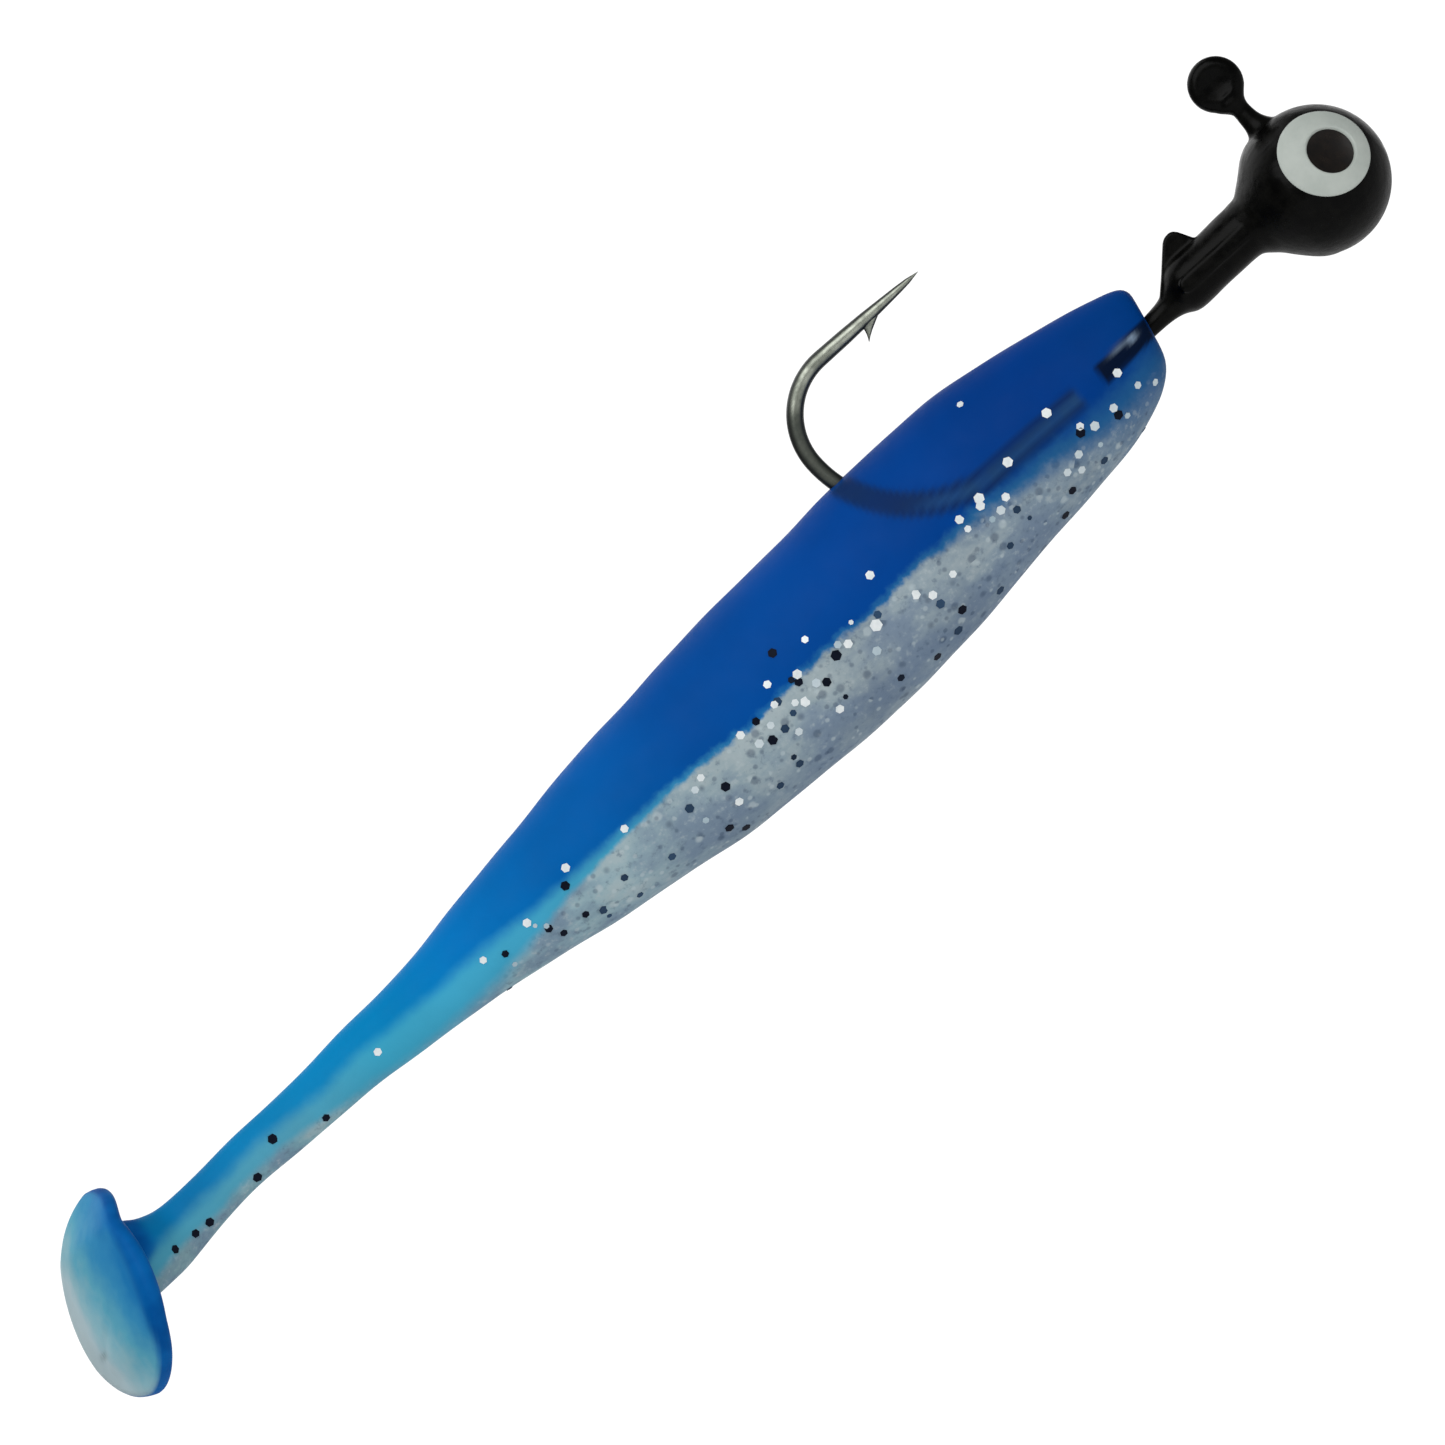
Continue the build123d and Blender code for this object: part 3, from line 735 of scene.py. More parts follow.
def combine(piece, tools, operation="UNION"):
    """Joins the tools to the piece, or cuts them from it, and removes them."""
    for tool in tools:
        modifier = piece.modifiers.new(tool.name, "BOOLEAN")
        modifier.operation = operation
        modifier.solver = "EXACT"
        modifier.object = tool
    apply_all(piece)
    for tool in tools:
        mesh = tool.data
        bpy.data.objects.remove(tool)
        bpy.data.meshes.remove(mesh)


def melt(piece, voxel, rounds):
    """Skins the piece over again in fine even faces, and softens every corner of it."""
    remesh = piece.modifiers.new("skin", "REMESH")
    remesh.mode = "VOXEL"
    remesh.voxel_size = voxel * MM
    smooth = piece.modifiers.new("soften", "SMOOTH")
    smooth.factor = 0.5
    smooth.iterations = rounds
    apply_all(piece)
    piece.data.shade_smooth()


def ball(name, radius, rows=64):
    """A closed ball made of rings, about the ball head's centre."""
    rings = []
    for i in range(1, rows):
        tip = math.pi * i / rows
        out = radius * math.sin(tip)
        rings.append([
            (out * math.cos(a), out * math.sin(a), radius * math.cos(tip))
            for a in circle(2 * rows)
        ])
    return piece_from_rings(name, rings)


def slab(name, outline, half_width, rounding=0.0):
    """A closed plate cut to an outline of (ahead, above) points; its edges are rounded."""
    outline = np.asarray(outline, float)
    centre = outline.mean(0)
    layers = (
        (-half_width, rounding),
        (-half_width + rounding * 0.3, rounding * 0.3),
        (-half_width + rounding, 0.0),
        (half_width - rounding, 0.0),
        (half_width - rounding * 0.3, rounding * 0.3),
        (half_width, rounding),
    )
    rings = []
    for left, inset in layers:
        gap = outline - centre
        inner = outline - gap / np.linalg.norm(gap, axis=1, keepdims=True) * inset
        rings.append([(a, left, w) for a, w in inner])
    return piece_from_rings(name, rings)


# ---------------------------------------------------------------- hook
# the wire's radius by distance back from its tip
POINT_TAPER = (
    (0.0, 0.015), (0.45, 0.1), (0.95, 0.2), (1.8, 0.28), (3.3, 0.38), (4.8, 0.47), (6.8, 0.545),
    (9.0, 0.575), (13.0, WIRE_R),
)
LEG_R = 0.54
leg_on = HOOK_LINE[RING_POINTS:]
from_tip = np.cumsum(np.linalg.norm(np.diff(leg_on[::-1], axis=0), axis=1))
from_tip = np.concatenate([[0], from_tip])[::-1]
wire_radii = np.interp(from_tip, *zip(*POINT_TAPER))
in_leg = smoothstep(2.0, 4.0, leg_on[:, 1]) * (leg_on[:, 0] > -2)
wire_radii -= in_leg * (WIRE_R - LEG_R)
hook = tube("hook", leg_on, wire_radii)
ring_rings = []
for a in circle(TIE_AROUND):
    spoke = np.array((math.cos(a), 0, math.sin(a)))
    middle = np.array((TIE[0], 0, TIE[1])) + RING_R * spoke
    ring_rings.append([
        middle + WIRE_R * (math.cos(b) * spoke + math.sin(b) * LEFT) for b in circle(WIRE_AROUND)
    ])


def closed_loop(name, rings):
    """A ring-shaped piece: its last ring of points joins its first."""
    rings = np.asarray(rings)
    return piece_of(name, rings.reshape(-1, 3), band(*rings.shape[:2], joined=True), math.pi)


tie_wire = closed_loop("tie_wire", ring_rings)
BARB_TURN = 0.07  # where the points of each section of the barb start, in radians
# the barb, a sliver raised from the inner side of the wire: sections from its root to its
# tip, each (front, rear, inward of the wire's middle, half thickness) from the point's start
BARB = (
    (0.35, -1.45, 0.1, 0.26), (-0.1, -1.5, 0.4, 0.26), (-0.55, -1.53, 0.62, 0.22),
    (-1.1, -1.6, 0.9, 0.15), (-1.5, -1.71, 1.15, 0.09), (-1.77, -1.82, 1.36, 0.02),
)
point_from = HOOK_LINE[HOOK_POINT_START]
inward = np.array((SPEAR_WAY[1], -SPEAR_WAY[0]))
barb_rings = []
for front, rear, depth, thick in BARB:
    centre = point_from + SPEAR_WAY * (front + rear) / 2 + inward * depth
    reach = SPEAR_WAY * (front - rear) / 2
    barb_rings.append([
        (centre[0] + reach[0] * math.cos(a), thick * math.sin(a), centre[1] + reach[1] * math.cos(a))
        for a in circle(20) + BARB_TURN
    ])
barb = piece_from_rings("barb", barb_rings)
combine(hook, [tie_wire])
combine(hook, [barb])
keep_rest(hook)
# how squarely each spot of the wire faces sideways: painted highlight there, and painted shade along
# the wire's top and bottom
hook_normals = np.array([v.normal for v in hook.data.vertices])
store(hook, "flank", np.abs(hook_normals[:, 1]))
# and the spear, above the bend, gets a brighter colour than the rest: a painted reflection
store(hook, "spear", smoothstep(11.6, 13.2, corners(hook)[:, 2]))

# ---------------------------------------------------------------- painted head
PAINTED_R = 0.72
# the casting and painted wire behind the ball: (ahead, above, radius)
TAIL_OF_HEAD = (
    (-0.8, 0.05, 5.05), (-2.0, 0.1, 4.86), (-3.0, 0.08, 4.36), (-4.0, 0.14, 3.46),
    (-4.6, 0.26, 2.88), (-5.0, 0.36, 2.5), (-5.5, 0.55, 2.24), (-5.9, 0.69, 2.05),
    (-6.4, 0.75, 1.98), (-7.6, 0.73, 1.95), (-9.2, 0.7, 1.93), (-10.8, 0.67, 1.97),
    (-11.5, 0.62, 1.9), (-12.0, 0.55, 1.7), (-12.5, 0.45, 1.32), (-13.0, 0.34, 1.03),
    (-13.6, 0.27, 0.86), (-14.5, 0.23, 0.77),
    (-16.0, 0.14, PAINTED_R),
    (-18.0, 0.03, PAINTED_R),
    (-19.6, -0.05, PAINTED_R),
    (-19.88, -0.06, 0.64),
    (-19.95, -0.06, 0.45),
)
stations = np.array(TAIL_OF_HEAD)
fine = natural_spline(-stations[:, 0], stations, np.linspace(0.8, 19.95, 190))
tail_rings = [
    [(ahead, radius * math.cos(a), above + radius * math.sin(a)) for a in circle(64)]
    for ahead, above, radius in fine
]
tail_of_head = piece_from_rings("tail_of_head", tail_rings)
FIN = (
    (-13.5, 0.7), (-13.2, 1.28), (-12.1, 2.33), (-11.2, 3.25), (-10.6, 3.85), (-10.3, 4.02),
    (-9.9, 4.08), (-9.6, 3.98), (-9.35, 3.7), (-8.95, 2.95), (-8.7, 2.5), (-8.5, 1.9), (-10.5, 0.5),
)
fin = slab("fin", FIN, 0.55, 0.1)
FACET_REACH = 2.06  # a flat pad along each side of the collar
FACET = (-11.9, -5.3, 0.62, 0.52)  # rear, front, middle height, half height
pad_outline = []
for end, centre in ((1, FACET[1] - FACET[3]), (-1, FACET[0] + FACET[3])):
    for k in range(9):
        a = -math.pi / 2 + k * math.pi / 8
        pad_outline.append((
            centre + end * FACET[3] * math.cos(a),
            FACET[2] + end * FACET[3] * math.sin(a),
        ))
pad = slab("pad", pad_outline, FACET_REACH, 0.1)
# the neck up to the flooded line tie: (ahead, above, radius), foot first
NECK = (
    (-0.45, 4.2, 1.75), (-0.45, 4.9, 1.3), (-0.48, 5.3, 1.0), (-0.54, 5.9, 0.76),
    (-0.57, 6.6, 0.67), (-0.58, 7.1, 0.68), (-0.62, 7.45, 0.88), (-0.66, 7.9, 1.28),
    (-0.68, 8.4, 1.45),
)
stations = np.array(NECK)
fine = natural_spline(stations[:, 1], stations, np.linspace(4.2, 8.4, 40))
neck = tube("neck", fine[:, :2], fine[:, 2], around=48)
# the neck is flatter than it is wide where it opens into the line tie
for vertex in neck.data.vertices:
    above = (vertex.co.z - BALL.z) / MM
    vertex.co.y *= 1 - 0.45 * float(smoothstep(7.1, 8.2, above))
# half the disc's thickness by distance from its middle: the flood sinks inside the ring
TIE_FACE = (
    (0, 0.5), (0.35, 0.51), (0.7, 0.57), (1.0, 0.66), (1.25, 0.7), (1.5, 0.66), (1.72, 0.54),
    (1.9, 0.3), (1.96, 0.0),
)
tie_rings = []
for out, half in (*[(o, h) for o, h in TIE_FACE[1:]], *[(o, -h) for o, h in TIE_FACE[-2:0:-1]]):
    tie_rings.append([
        (TIE[0] + out * math.cos(a), half, TIE[1] + out * math.sin(a))
        for a in circle(TIE_AROUND)
    ])
tie = piece_from_rings("tie", tie_rings)
painted_head = ball("painted_head", BALL_R)
combine(painted_head, [tail_of_head, fin, pad, neck, tie])
SOCKET_R = 1.7
RING_AXIS = (0.338, 0.232)  # how far ahead and above the ring's middle is turned
PUPIL_AXIS = (0.385, 0.168)
SOCKET_DEPTH = 0.95
socket_profile = (
    (0, BALL_R - SOCKET_DEPTH),
    (SOCKET_R, BALL_R - SOCKET_DEPTH),
    (SOCKET_R, BALL_R + 1),
    (0, BALL_R + 1),
)
sockets = [turned(f"socket_{hand}", socket_profile, PUPIL_AXIS, hand) for hand in (-1, 1)]
combine(painted_head, sockets, "DIFFERENCE")
PAINT_VOXEL, PAINT_ROUNDS = 0.11, 6
melt(painted_head, PAINT_VOXEL, PAINT_ROUNDS)
keep_rest(painted_head)

# ---------------------------------------------------------------- eyes
EYE_R = 3.16
RING_LIFT = 0.13
BORE_R = 1.68
# round the ring's section: (share of the way from the bore to the rim, height over the ball)
RING_SECTION = (
    *((float(share), RING_LIFT) for share in np.linspace(0.07, 0.93, 12)),
    (0.975, RING_LIFT * 0.8),
    (1.0, RING_LIFT * 0.45),
    (1.003, 0.0),
    (0.985, -0.12),
    (0.25, -0.5),
    (0.0, -0.75),
    (0.0, -0.06),
    (0.02, RING_LIFT * 0.7),
)


def circle_on_ball(axis, hand, radius):
    """Directions from the ball's centre to a circle round an axis."""
    along, across, third = eye_axes(axis, hand)
    tip = math.asin(radius / BALL_R)
    return np.array([
        along * math.cos(tip) + (across * math.cos(a) + third * math.sin(a)) * math.sin(tip)
        for a in circle(EYE_AROUND)
    ])


def eye_ring(name, hand):
    """The ring on the ball; its bore is a little off its middle."""
    bore = circle_on_ball(PUPIL_AXIS, hand, BORE_R)
    rim = circle_on_ball(RING_AXIS, hand, EYE_R)
    loops = []
    for share, lift in RING_SECTION:
        way = bore + (rim - bore) * share
        way /= np.linalg.norm(way, axis=1, keepdims=True)
        loops.append(way * (BALL_R + lift))
    return closed_loop(name, loops)


PUPIL_FLOOR = BALL_R - 0.62
pupil_profile = [(0, PUPIL_FLOOR)]
for out in np.linspace(0.15, BORE_R - 0.04, 12):
    pupil_profile.append((out, PUPIL_FLOOR + 0.22 * (out / BORE_R) ** 2))
pupil_profile += [
    (BORE_R - 0.02, PUPIL_FLOOR - 0.1),
    (BORE_R - 0.1, PUPIL_FLOOR - 0.28),
    (0, PUPIL_FLOOR - 0.3),
]
eyes = []
for side_name, hand in (("left", 1), ("right", -1)):
    eye_white = eye_ring(f"eye_white_{side_name}", hand)
    eye_dark = turned(f"eye_dark_{side_name}", pupil_profile, PUPIL_AXIS, hand)
    keep_rest(eye_white)
    keep_rest(eye_dark)
    eyes.append((side_name, eye_white, eye_dark))

# ---------------------------------------------------------------- materials
class Shader:
    """A material's nodes, written as nested calls."""

    def __init__(self, name):
        self.material = bpy.data.materials.new(name)
        self.material.use_nodes = True
        self.tree = self.material.node_tree
        self.surface = self.tree.nodes["Principled BSDF"]

    def node(self, kind, inputs=None, **settings):
        node = self.tree.nodes.new(kind)
        for key, value in settings.items():
            setattr(node, key, value)
        for key, value in (inputs or {}).items():
            self.feed(node.inputs[key], value)
        return node

    def feed(self, socket, value):
        if isinstance(value, bpy.types.NodeSocket):
            self.tree.links.new(value, socket)
        else:
            socket.default_value = value

    def stored(self, name, output="Fac"):
        return self.node("ShaderNodeAttribute", attribute_name=name).outputs[output]

    def rest(self):
        return self.stored("rest", "Vector")

    def maths(self, operation, *values):
        node = self.node("ShaderNodeMath", operation=operation)
        for socket, value in zip(node.inputs, values):
            self.feed(socket, value)
        return node.outputs[0]

    def times(self, a, b):
        return self.maths("MULTIPLY", a, b)

    def noise(self, scale, detail=3.0, rough=0.55, offset=(0, 0, 0), stretch=(1, 1, 1)):
        """Noise over the resting lure; scale is in lumps per millimetre."""
        placed = self.node(
            "ShaderNodeMapping", {"Vector": self.rest(), "Location": offset, "Scale": stretch}
        ).outputs[0]
        inputs = {"Vector": placed, "Scale": scale, "Detail": detail, "Roughness": rough}
        return self.node("ShaderNodeTexNoise", inputs).outputs["Fac"]

    def ramp(self, factor, *stops):
        """Stops are (place, colour)."""
        node = self.node("ShaderNodeValToRGB", {"Fac": factor})
        ramp = node.color_ramp
        while len(ramp.elements) < len(stops):
            ramp.elements.new(0.5)
        for element, (where, colour) in zip(ramp.elements, stops):
            element.position = where
            element.color = rgb(colour)
        return node.outputs["Color"]

    def mix(self, factor, a, b, mode="MIX"):
        node = self.node("ShaderNodeMix", data_type="RGBA", blend_type=mode)
        self.feed(node.inputs["Factor"], factor)
        for socket, colour in ((node.inputs["A"], a), (node.inputs["B"], b)):
            is_socket = isinstance(colour, bpy.types.NodeSocket)
            self.feed(socket, colour if is_socket else rgb(colour))
        return node.outputs["Result"]

    def spread(self, value, low, high, to_low=0.0, to_high=1.0, smooth=True):
        inputs = {
            "Value": value,
            "From Min": low,
            "From Max": high,
            "To Min": to_low,
            "To Max": to_high,
        }
        kind = "SMOOTHSTEP" if smooth else "LINEAR"
        return self.node("ShaderNodeMapRange", inputs, interpolation_type=kind).outputs[0]

    def bump(self, height, strength, distance):
        inputs = {"Strength": strength, "Distance": distance * MM, "Height": height}
        self.feed(self.surface.inputs["Normal"], self.node("ShaderNodeBump", inputs).outputs[0])

    def finish(self, **inputs):
        for key, value in inputs.items():
            self.feed(self.surface.inputs[key.replace("_", " ")], value)
        return self.material


def rgb(colour):
    """A screen colour, "#rrggbb", as linear light."""
    channels = [int(colour[i : i + 2], 16) / 255 for i in (1, 3, 5)]
    linear = [c / 12.92 if c < 0.04045 else ((c + 0.055) / 1.055) ** 2.4 for c in channels]
    return (*linear, 1)


def soft_plastic():
    """Two poured layers, blue over pearl, with painted shade where the hook shows faintly through."""
    s = Shader("soft_plastic")
    along = s.stored("along")
    wobble = s.maths("MULTIPLY_ADD", s.noise(0.16, 2.0), 1.2, -0.6)
    ragged = s.maths("MULTIPLY_ADD", s.noise(1.0, 3.0, 0.6, (7, 3, 1)), 1.2, -0.6)
    ragged = s.times(ragged, s.spread(along, 0.42, 0.6, 1.0, 0.3))
    height = s.maths("ADD", s.stored("above_parting"), s.maths("ADD", wobble, ragged))

    blue = s.ramp(
        along,
        (0.0, "#003c84"), (0.1, "#003c8c"), (0.28, "#00469a"), (0.45, "#0050a2"),
        (0.58, "#0066b6"), (0.67, "#0078c4"), (0.75, "#008ccc"), (0.83, "#0a8cc8"),
        (0.93, "#0a7ab4"),
    )
    cyan = s.ramp(
        along,
        (0.0, "#1f588f"), (0.2, "#2a689c"), (0.4, "#2470ac"), (0.55, "#45a4c8"),
        (0.66, "#44abd0"), (0.76, "#42b0d4"), (0.84, "#55a6c2"), (0.95, "#4fa2bc"),
    )
    pearl = s.ramp(
        along,
        (0.0, "#4f7498"), (0.06, "#68849f"), (0.16, "#8c9fad"), (0.32, "#9dadb4"),
        (0.48, "#9bb0b8"), (0.6, "#9fbfc8"), (0.8, "#7eb0be"), (0.95, "#84a8b0"),
    )
    cloud = s.noise(0.3, 4.0, 0.62, (2, 9, 4), (0.6, 1, 1))
    grain = s.noise(1.5, 4.0, 0.7, (5, 1, 8))
    pearl = s.mix(s.spread(cloud, 0.4, 0.66, 0.0, 0.7), pearl, "#71859f")
    pearl = s.mix(s.spread(cloud, 0.5, 0.3, 0.0, 0.5), pearl, "#b7c2c4")
    pearl = s.mix(s.spread(grain, 0.52, 0.72, 0.0, 0.5), pearl, "#b9c6ca")
    pearl = s.mix(s.spread(grain, 0.47, 0.28, 0.0, 0.55), pearl, "#5a6c80")
    # painted shade: the pearl goes darker and bluer towards the belly
    low = s.spread(s.stored("above_parting"), -2.2, -5.6)
    pearl = s.mix(s.times(low, 0.42), pearl, "#5f7592")

    # flakes deep in the pearl, in two sizes
    for scale, size, most, offset in ((0.95, 0.4, 0.5, 0.0), (1.9, 0.45, 0.42, 3.0)):
        placed = s.node("ShaderNodeMapping", {"Vector": s.rest(), "Location": (offset, 0, 0)})
        cells = s.node("ShaderNodeTexVoronoi", {"Vector": placed.outputs[0], "Scale": scale})
        spot = s.spread(cells.outputs["Distance"], size, size * 0.45)
        chance = s.node("ShaderNodeSeparateColor", {"Color": cells.outputs["Color"]}).outputs[0]
        dark = s.times(spot, s.maths("LESS_THAN", chance, 0.2))
        light = s.times(spot, s.maths("GREATER_THAN", chance, 0.87))
        fewer = s.spread(along, 0.55, 0.75, most, most * 0.12)
        pearl = s.mix(s.times(dark, fewer), pearl, "#3a4c66")
        pearl = s.mix(s.times(light, fewer), pearl, "#c4d2d6")

    # the layers run into each other over a longer way near the nose
    soft = s.spread(along, 0.0, 0.3, 2.2, 0.4)
    # and the blue bleeds down into the pearl of the stem
    begins, ends = s.spread(along, 0.54, 0.7, 0.0, 2.2), s.spread(along, 0.75, 0.84, 0.0, 1.6)
    bleed = s.maths("SUBTRACT", begins, ends)
    cyan_deep = s.spread(along, 0.4, 0.66, 0.1, 0.8)
    lower = s.maths("SUBTRACT", s.times(soft, -1.0), s.times(bleed, 1.2))
    upper = s.maths("SUBTRACT", s.times(soft, 0.15), s.times(bleed, 0.6))
    body = s.mix(s.spread(height, lower, upper), pearl, cyan)
    body = s.mix(s.spread(height, -0.1, s.maths("ADD", soft, cyan_deep)), body, blue)

    # painted shade where the wire shows through the plastic, and darker painted shade over the
    # painted stub
    seen = s.spread(s.noise(0.5, 2.0, 0.5, (1, 1, 6)), 0.3, 0.7, 0.75, 1.0)
    wire = s.times(s.stored("painted_wire_shade"), seen)
    body = s.mix(s.times(wire, 0.72), body, "#2c4e6a")
    body = s.mix(s.times(s.stored("painted_wire_edge_shade"), 0.66), body, "#021a52")
    body = s.mix(s.times(s.stored("painted_stub_shade"), 0.94), body, "#060f1f")
    # painted highlights where the wire goes into the nose
    body = s.mix(s.stored("painted_glint"), body, "#a9c2dd")

    # the paddle: blue rim, and a rear face that goes from blue through cyan to pearl
    streak = s.maths("MULTIPLY_ADD", s.noise(0.35, 3.0, 0.55, (8, 8, 2)), 0.8, -0.4)
    fade = s.maths("ADD", s.stored("face_fade"), streak)
    face = s.ramp(
        s.spread(fade, -1.0, 1.0, smooth=False),
        (0.0, "#2280c0"), (0.2, "#3c97c8"), (0.42, "#62b2cc"), (0.6, "#92c2cf"),
        (0.8, "#b6ced6"), (1.0, "#b4c8ce"),
    )
    # painted shade in the crease of the paddle's rear face
    face = s.mix(s.times(s.stored("painted_fold_shade"), 0.6), face, "#63787c")
    rim = s.mix(s.spread(s.noise(0.4, 2.0), 0.3, 0.7), "#00509a", "#0866b2")
    paddle = s.mix(s.stored("face"), rim, face)
    body = s.mix(s.stored("plate"), body, paddle)

    tone = s.noise(0.11, 3.0, 0.6, (3, 3, 3))
    body = s.mix(s.spread(tone, 0.3, 0.7, 0.0, 0.12), body, "#04142e", "MULTIPLY")

    dents = s.noise(0.9, 4.0, 0.6)
    s.bump(s.maths("ADD", dents, s.times(s.noise(4.0, 2.0), 0.25)), 0.25, 0.06)
    return s.finish(
        Base_Color=body,
        Roughness=s.spread(s.noise(0.7, 3.0), 0.2, 0.8, 0.38, 0.55),
        Specular_IOR_Level=0.03,
    )


def glitter(name, bright, dull, specular, roughness, body_tint, tint_most):
    """Flakes: some shine, and some take the plastic's colour as if they lay deeper."""
    s = Shader(name)
    buried = s.stored("buried")
    colour = s.mix(s.noise(2.2, 2.0), bright, dull)
    colour = s.mix(s.spread(buried, 0.25, 1.0, 0.0, tint_most), colour, body_tint)
    s.bump(s.noise(5.0, 2.0), 0.2, 0.02)
    return s.finish(
        Base_Color=colour,
        Metallic=0.1,
        Roughness=s.spread(buried, 0.0, 1.0, roughness, roughness + 0.2),
        Specular_IOR_Level=specular,
    )


def black_paint():
    """Thick dipped paint: nearly black, a little brown, with soft orange peel."""
    s = Shader("black_paint")
    dust = s.noise(0.9, 4.0, 0.65)
    colour = s.mix(s.spread(dust, 0.35, 0.75), "#020202", "#0a0a08")
    peel = s.maths("ADD", s.noise(0.55, 2.0), s.times(s.noise(2.2, 3.0), 0.35))
    s.bump(peel, 0.35, 0.12)
    return s.finish(
        Base_Color=colour,
        Roughness=s.spread(dust, 0.3, 0.75, 0.22, 0.38),
        Specular_IOR_Level=0.07,
    )


def enamel(name, light, dark, roughness, specular, scale):
    """The eyes' mottled enamel."""
    s = Shader(name)
    mottle = s.noise(scale, 4.0, 0.6, (4, 4, 4))
    colour = s.mix(s.spread(mottle, 0.3, 0.72), light, dark)
    s.bump(s.noise(1.4, 3.0), 0.15, 0.04)
    return s.finish(
        Base_Color=colour,
        Roughness=s.spread(mottle, 0.2, 0.8, roughness, roughness + 0.12),
        Specular_IOR_Level=specular,
    )


def hook_steel():
    """Dark nickelled wire, with drawing lines, a few duller stains, a painted reflection on the spear
    and painted shade along its top and bottom.
    """
    s = Shader("hook_steel")
    stain = s.noise(0.6, 4.0, 0.6)
    lines = s.noise(6.0, 2.0, 0.5, (0, 0, 0), (0.15, 1, 1))
    # the spear's brighter colours are a painted reflection
    bright = s.mix(s.stored("spear"), "#62665e", "#b4b9ac")
    dull = s.mix(s.stored("spear"), "#454a44", "#7f8479")
    colour = s.mix(s.spread(stain, 0.35, 0.7), bright, dull)
    colour = s.mix(s.spread(lines, 0.4, 0.7, 0.0, 0.25), colour, "#4d524d")
    # painted shade on the wire's top and bottom, painted highlight where it faces sideways
    painted_lit_share = s.spread(s.stored("flank"), 0.62, 1.0)
    colour = s.mix(painted_lit_share, "#2b2f2d", colour)
    s.bump(lines, 0.15, 0.02)
    return s.finish(
        Base_Color=colour,
        Metallic=0.75,
        Roughness=s.spread(stain, 0.3, 0.7, 0.3, 0.45),
    )


def give(piece, material):
    """Makes the material the piece's only one."""
    piece.data.materials.clear()
    piece.data.materials.append(material)


plastic = soft_plastic()
silver_material = glitter("silver_flake", "#fafdfd", "#d5e0e4", 0.4, 0.3, "#7fa2b4", 0.75)
black_material = glitter("black_flake", "#080b14", "#10182a", 0.06, 0.45, "#3b5674", 0.8)
for piece in (soft_front, soft_rear, soft_tail):
    give(piece, plastic)
for piece in silver_pieces.values():
    give(piece, silver_material)
for piece in black_pieces.values():
    give(piece, black_material)
give(painted_head, black_paint())
give(hook, hook_steel())
white = enamel("eye_white", "#bcc3bd", "#b1b9b3", 0.4, 0.15, 0.5)
dark = enamel("eye_dark", "#1a1511", "#090605", 0.25, 0.3, 1.6)
for _, eye_white, eye_dark in eyes:
    give(eye_white, white)
    give(eye_dark, dark)
# CAD pieces that nothing else stands for still get a worked finish
for name, node in frame["nodes"].items():
    node.data.materials.clear()
    node.data.materials.append(plastic if "back" in name or "belly" in name else black_material)

# ---------------------------------------------------------------- onto the frame
BEND_HEIGHT = -1.0


def blended(piece, parent, child, start, end):
    """Bakes the piece's place into its mesh; it doesn't bend the piece between the two bodies."""
    start, end = (tuple(place((ahead, 0, BEND_HEIGHT))) for ahead in (start, end))
    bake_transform(piece)


BENDS = {
    "front": ("bait", "rear", -54.0, -70.0),
    "rear": ("rear", "tail", -84.0, -96.0),
    "tail": ("tail", "paddle", -102.0, -107.5),
}
for (stretch, piece, _, _), bend in zip(STRETCHES, BENDS.values()):
    for moving in (piece, silver_pieces[stretch], black_pieces[stretch]):
        blended(moving, *bend)
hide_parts("back_front", "belly_front", "back_body_flex", "belly_body_flex")
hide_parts("back_rear", "belly_rear")
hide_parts("back_tail_flex", "belly_tail_flex", "back_stem", "belly_stem")
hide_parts("back_paddle_flex", "belly_paddle_flex", "paddle_blue", "paddle_pearl")
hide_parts("silver_flakes_front", "silver_flakes_rear")
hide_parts("black_flakes_front", "black_flakes_rear")
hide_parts("black_flakes_stem")
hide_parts("silver_flakes_paddle")
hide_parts("black_flakes_paddle")
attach(painted_head, "jig")
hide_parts("lead_head", "paint_coat")
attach(hook, "jig")
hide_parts("jig_hook")
for side_name, eye_white, eye_dark in eyes:
    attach(eye_white, "jig")
    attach(eye_dark, "jig")
    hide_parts(f"eye_ring_{side_name}")
    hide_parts(f"eye_pupil_{side_name}")

# ---------------------------------------------------------------- floor, light, camera
FLOOR_R, FLOOR_AT = 1.4, -0.17


def dressed_floor():
    """A large plain pale floor, a little below the lure."""
    mesh = bpy.data.meshes.new("floor")
    mesh.from_pydata(
        [(x * FLOOR_R, y * FLOOR_R, FLOOR_AT) for x, y in ((-1, -1), (1, -1), (1, 1), (-1, 1))],
        [],
        [(0, 1, 2, 3)],
    )
    floor = in_scene("floor", mesh)
    s = Shader("floor")
    mesh.materials.append(s.finish(Base_Color=(0.92, 0.92, 0.92, 1), Roughness=0.9))


dressed_floor()
scene = bpy.context.scene
world = bpy.data.worlds.new("soft_white")
scene.world = world
world.use_nodes = True
SKY_BACK, SKY_FRONT, SKY_SIDE = 1.1, 0.3, 0.2


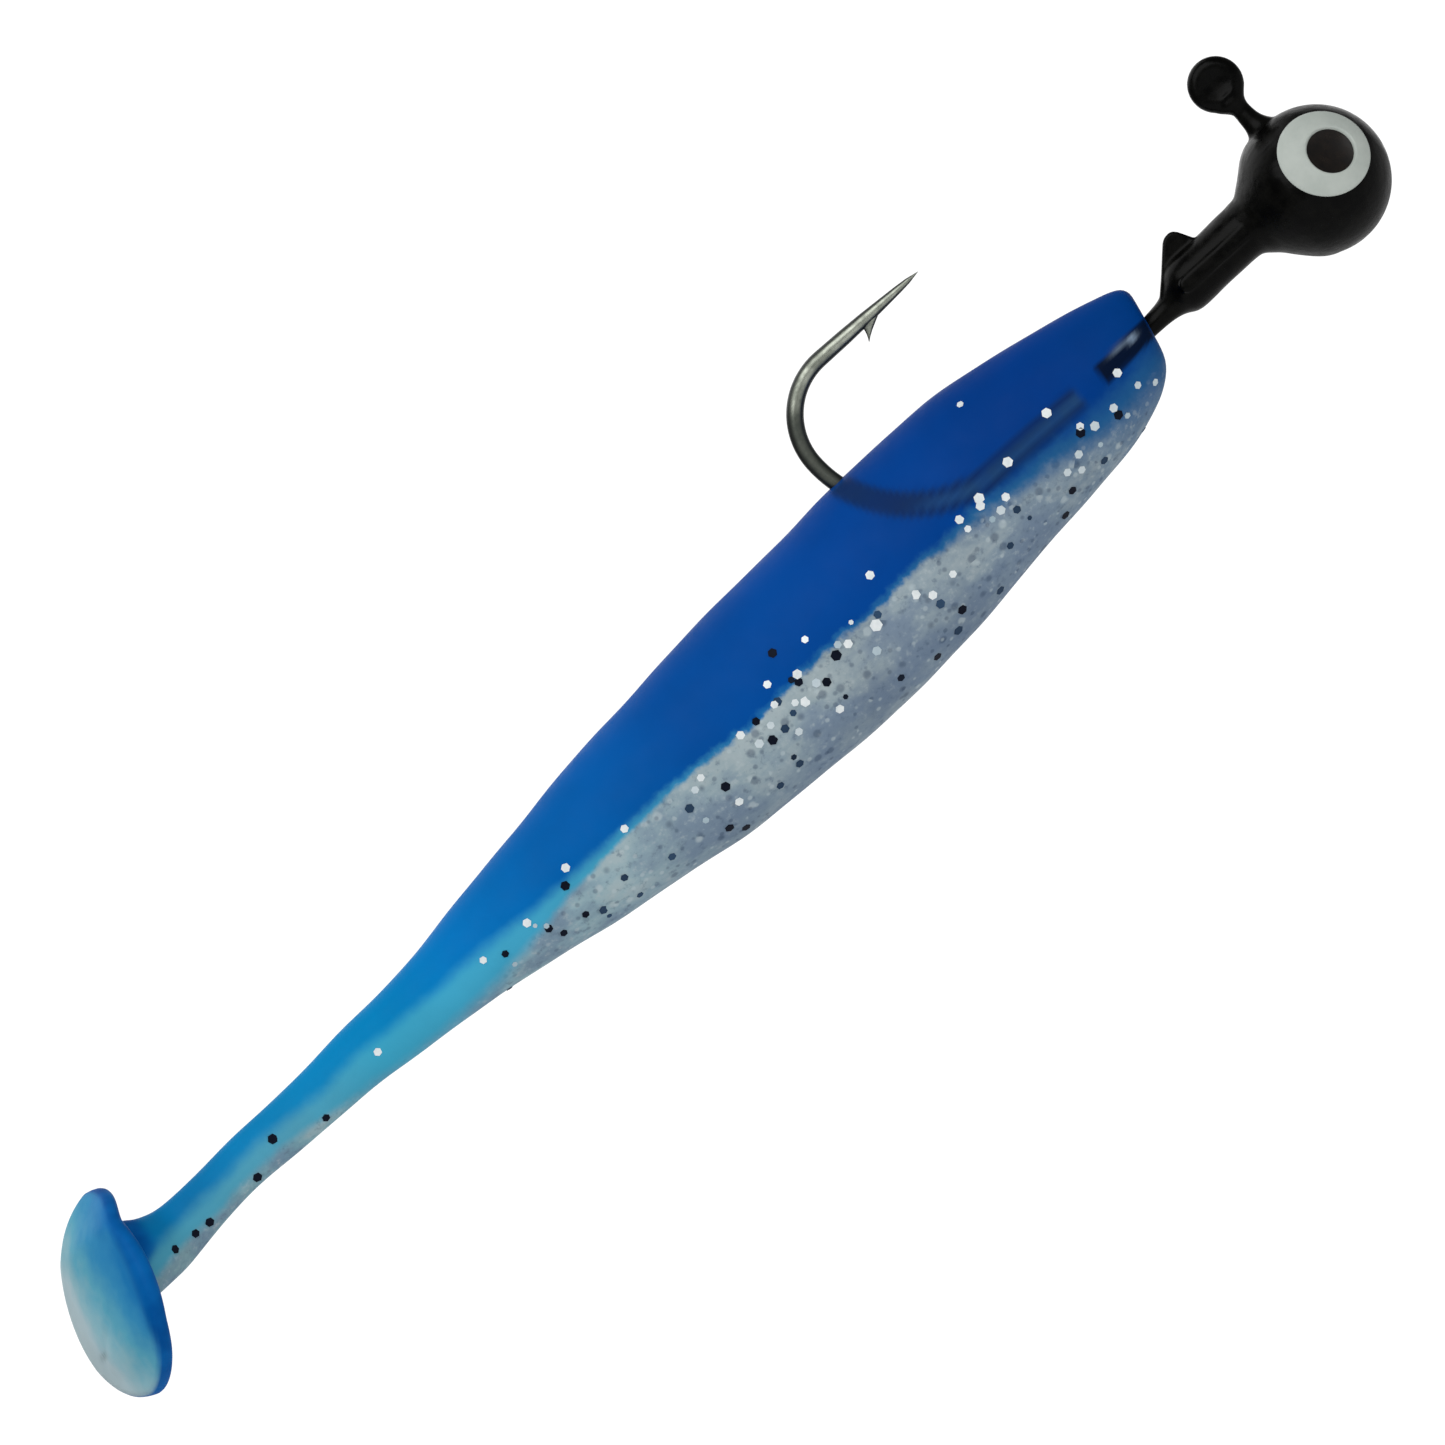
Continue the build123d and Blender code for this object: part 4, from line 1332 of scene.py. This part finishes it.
def dress_world(tree):
    """White paper behind the lure, softer light in front of it, and dimmer sides."""
    place_node = tree.nodes.new("ShaderNodeTexCoord")
    parts = tree.nodes.new("ShaderNodeSeparateXYZ")
    ramp = tree.nodes.new("ShaderNodeValToRGB")
    spread = tree.nodes.new("ShaderNodeMapRange")
    spread.inputs["From Min"].default_value = -1
    tree.links.new(place_node.outputs["Generated"], parts.inputs[0])
    tree.links.new(parts.outputs["Y"], spread.inputs["Value"])
    tree.links.new(spread.outputs[0], ramp.inputs[0])
    stops = ((0.0, SKY_FRONT), (0.12, SKY_FRONT), (0.3, SKY_SIDE), (0.84, SKY_SIDE), (0.93, SKY_BACK))
    ramp.color_ramp.interpolation = "EASE"
    while len(ramp.color_ramp.elements) < len(stops):
        ramp.color_ramp.elements.new(0.5)
    for element, (where, grey) in zip(ramp.color_ramp.elements, stops):
        element.position = where
        element.color = (grey, grey, grey, 1)
    tree.links.new(ramp.outputs[0], tree.nodes["Background"].inputs["Color"])


dress_world(world.node_tree)
scene.view_settings.view_transform = "Standard"

# the lure lies slanting up the picture, seen square from its right side
PICTURE_TURN = math.radians(42.2)
PICTURE_MIDDLE = (-53.98, -9.62)  # X and Z in the frame, millimetres
PICTURE_WIDTH = 98.26
SENSOR = 36.0
CAMERA_AWAY = 1.2
right = Vector((math.cos(PICTURE_TURN), 0, -math.sin(PICTURE_TURN)))
upward = Vector((math.sin(PICTURE_TURN), 0, math.cos(PICTURE_TURN)))
back = right.cross(upward)


def aimed(right, upward, back, at):
    """A matrix that faces along -back from a place, with its top towards upward."""
    turn = Matrix((right, upward, back)).transposed().to_4x4()
    return Matrix.Translation(at) @ turn


camera_data = bpy.data.cameras.new("camera")
camera_data.sensor_width = SENSOR
camera_data.lens = SENSOR * CAMERA_AWAY / (PICTURE_WIDTH * MM)
camera_data.clip_start, camera_data.clip_end = 0.05, 20
camera = in_scene("camera", camera_data)
middle = Vector((PICTURE_MIDDLE[0] * MM, 0, PICTURE_MIDDLE[1] * MM))
camera.matrix_world = aimed(right, upward, back, middle + back * CAMERA_AWAY)
scene.camera = camera


def soft_box(name, direction, away, size, power):
    """A square area light that faces the middle of the picture."""
    data = bpy.data.lights.new(name, "AREA")
    data.energy, data.size = power, size
    lamp = in_scene(name, data)
    out = Vector(direction).normalized()
    across = out.cross(Vector((0, 0, 1))).normalized()
    upward = across.cross(out)
    lamp.matrix_world = aimed(upward.cross(out) * -1, upward, out, middle + out * away)


soft_box("key", (0.0, -0.75, 0.65), 1.1, 1.0, 8.2)
soft_box("top", (-0.3, 0.5, 1.0), 1.0, 1.0, 4.4)
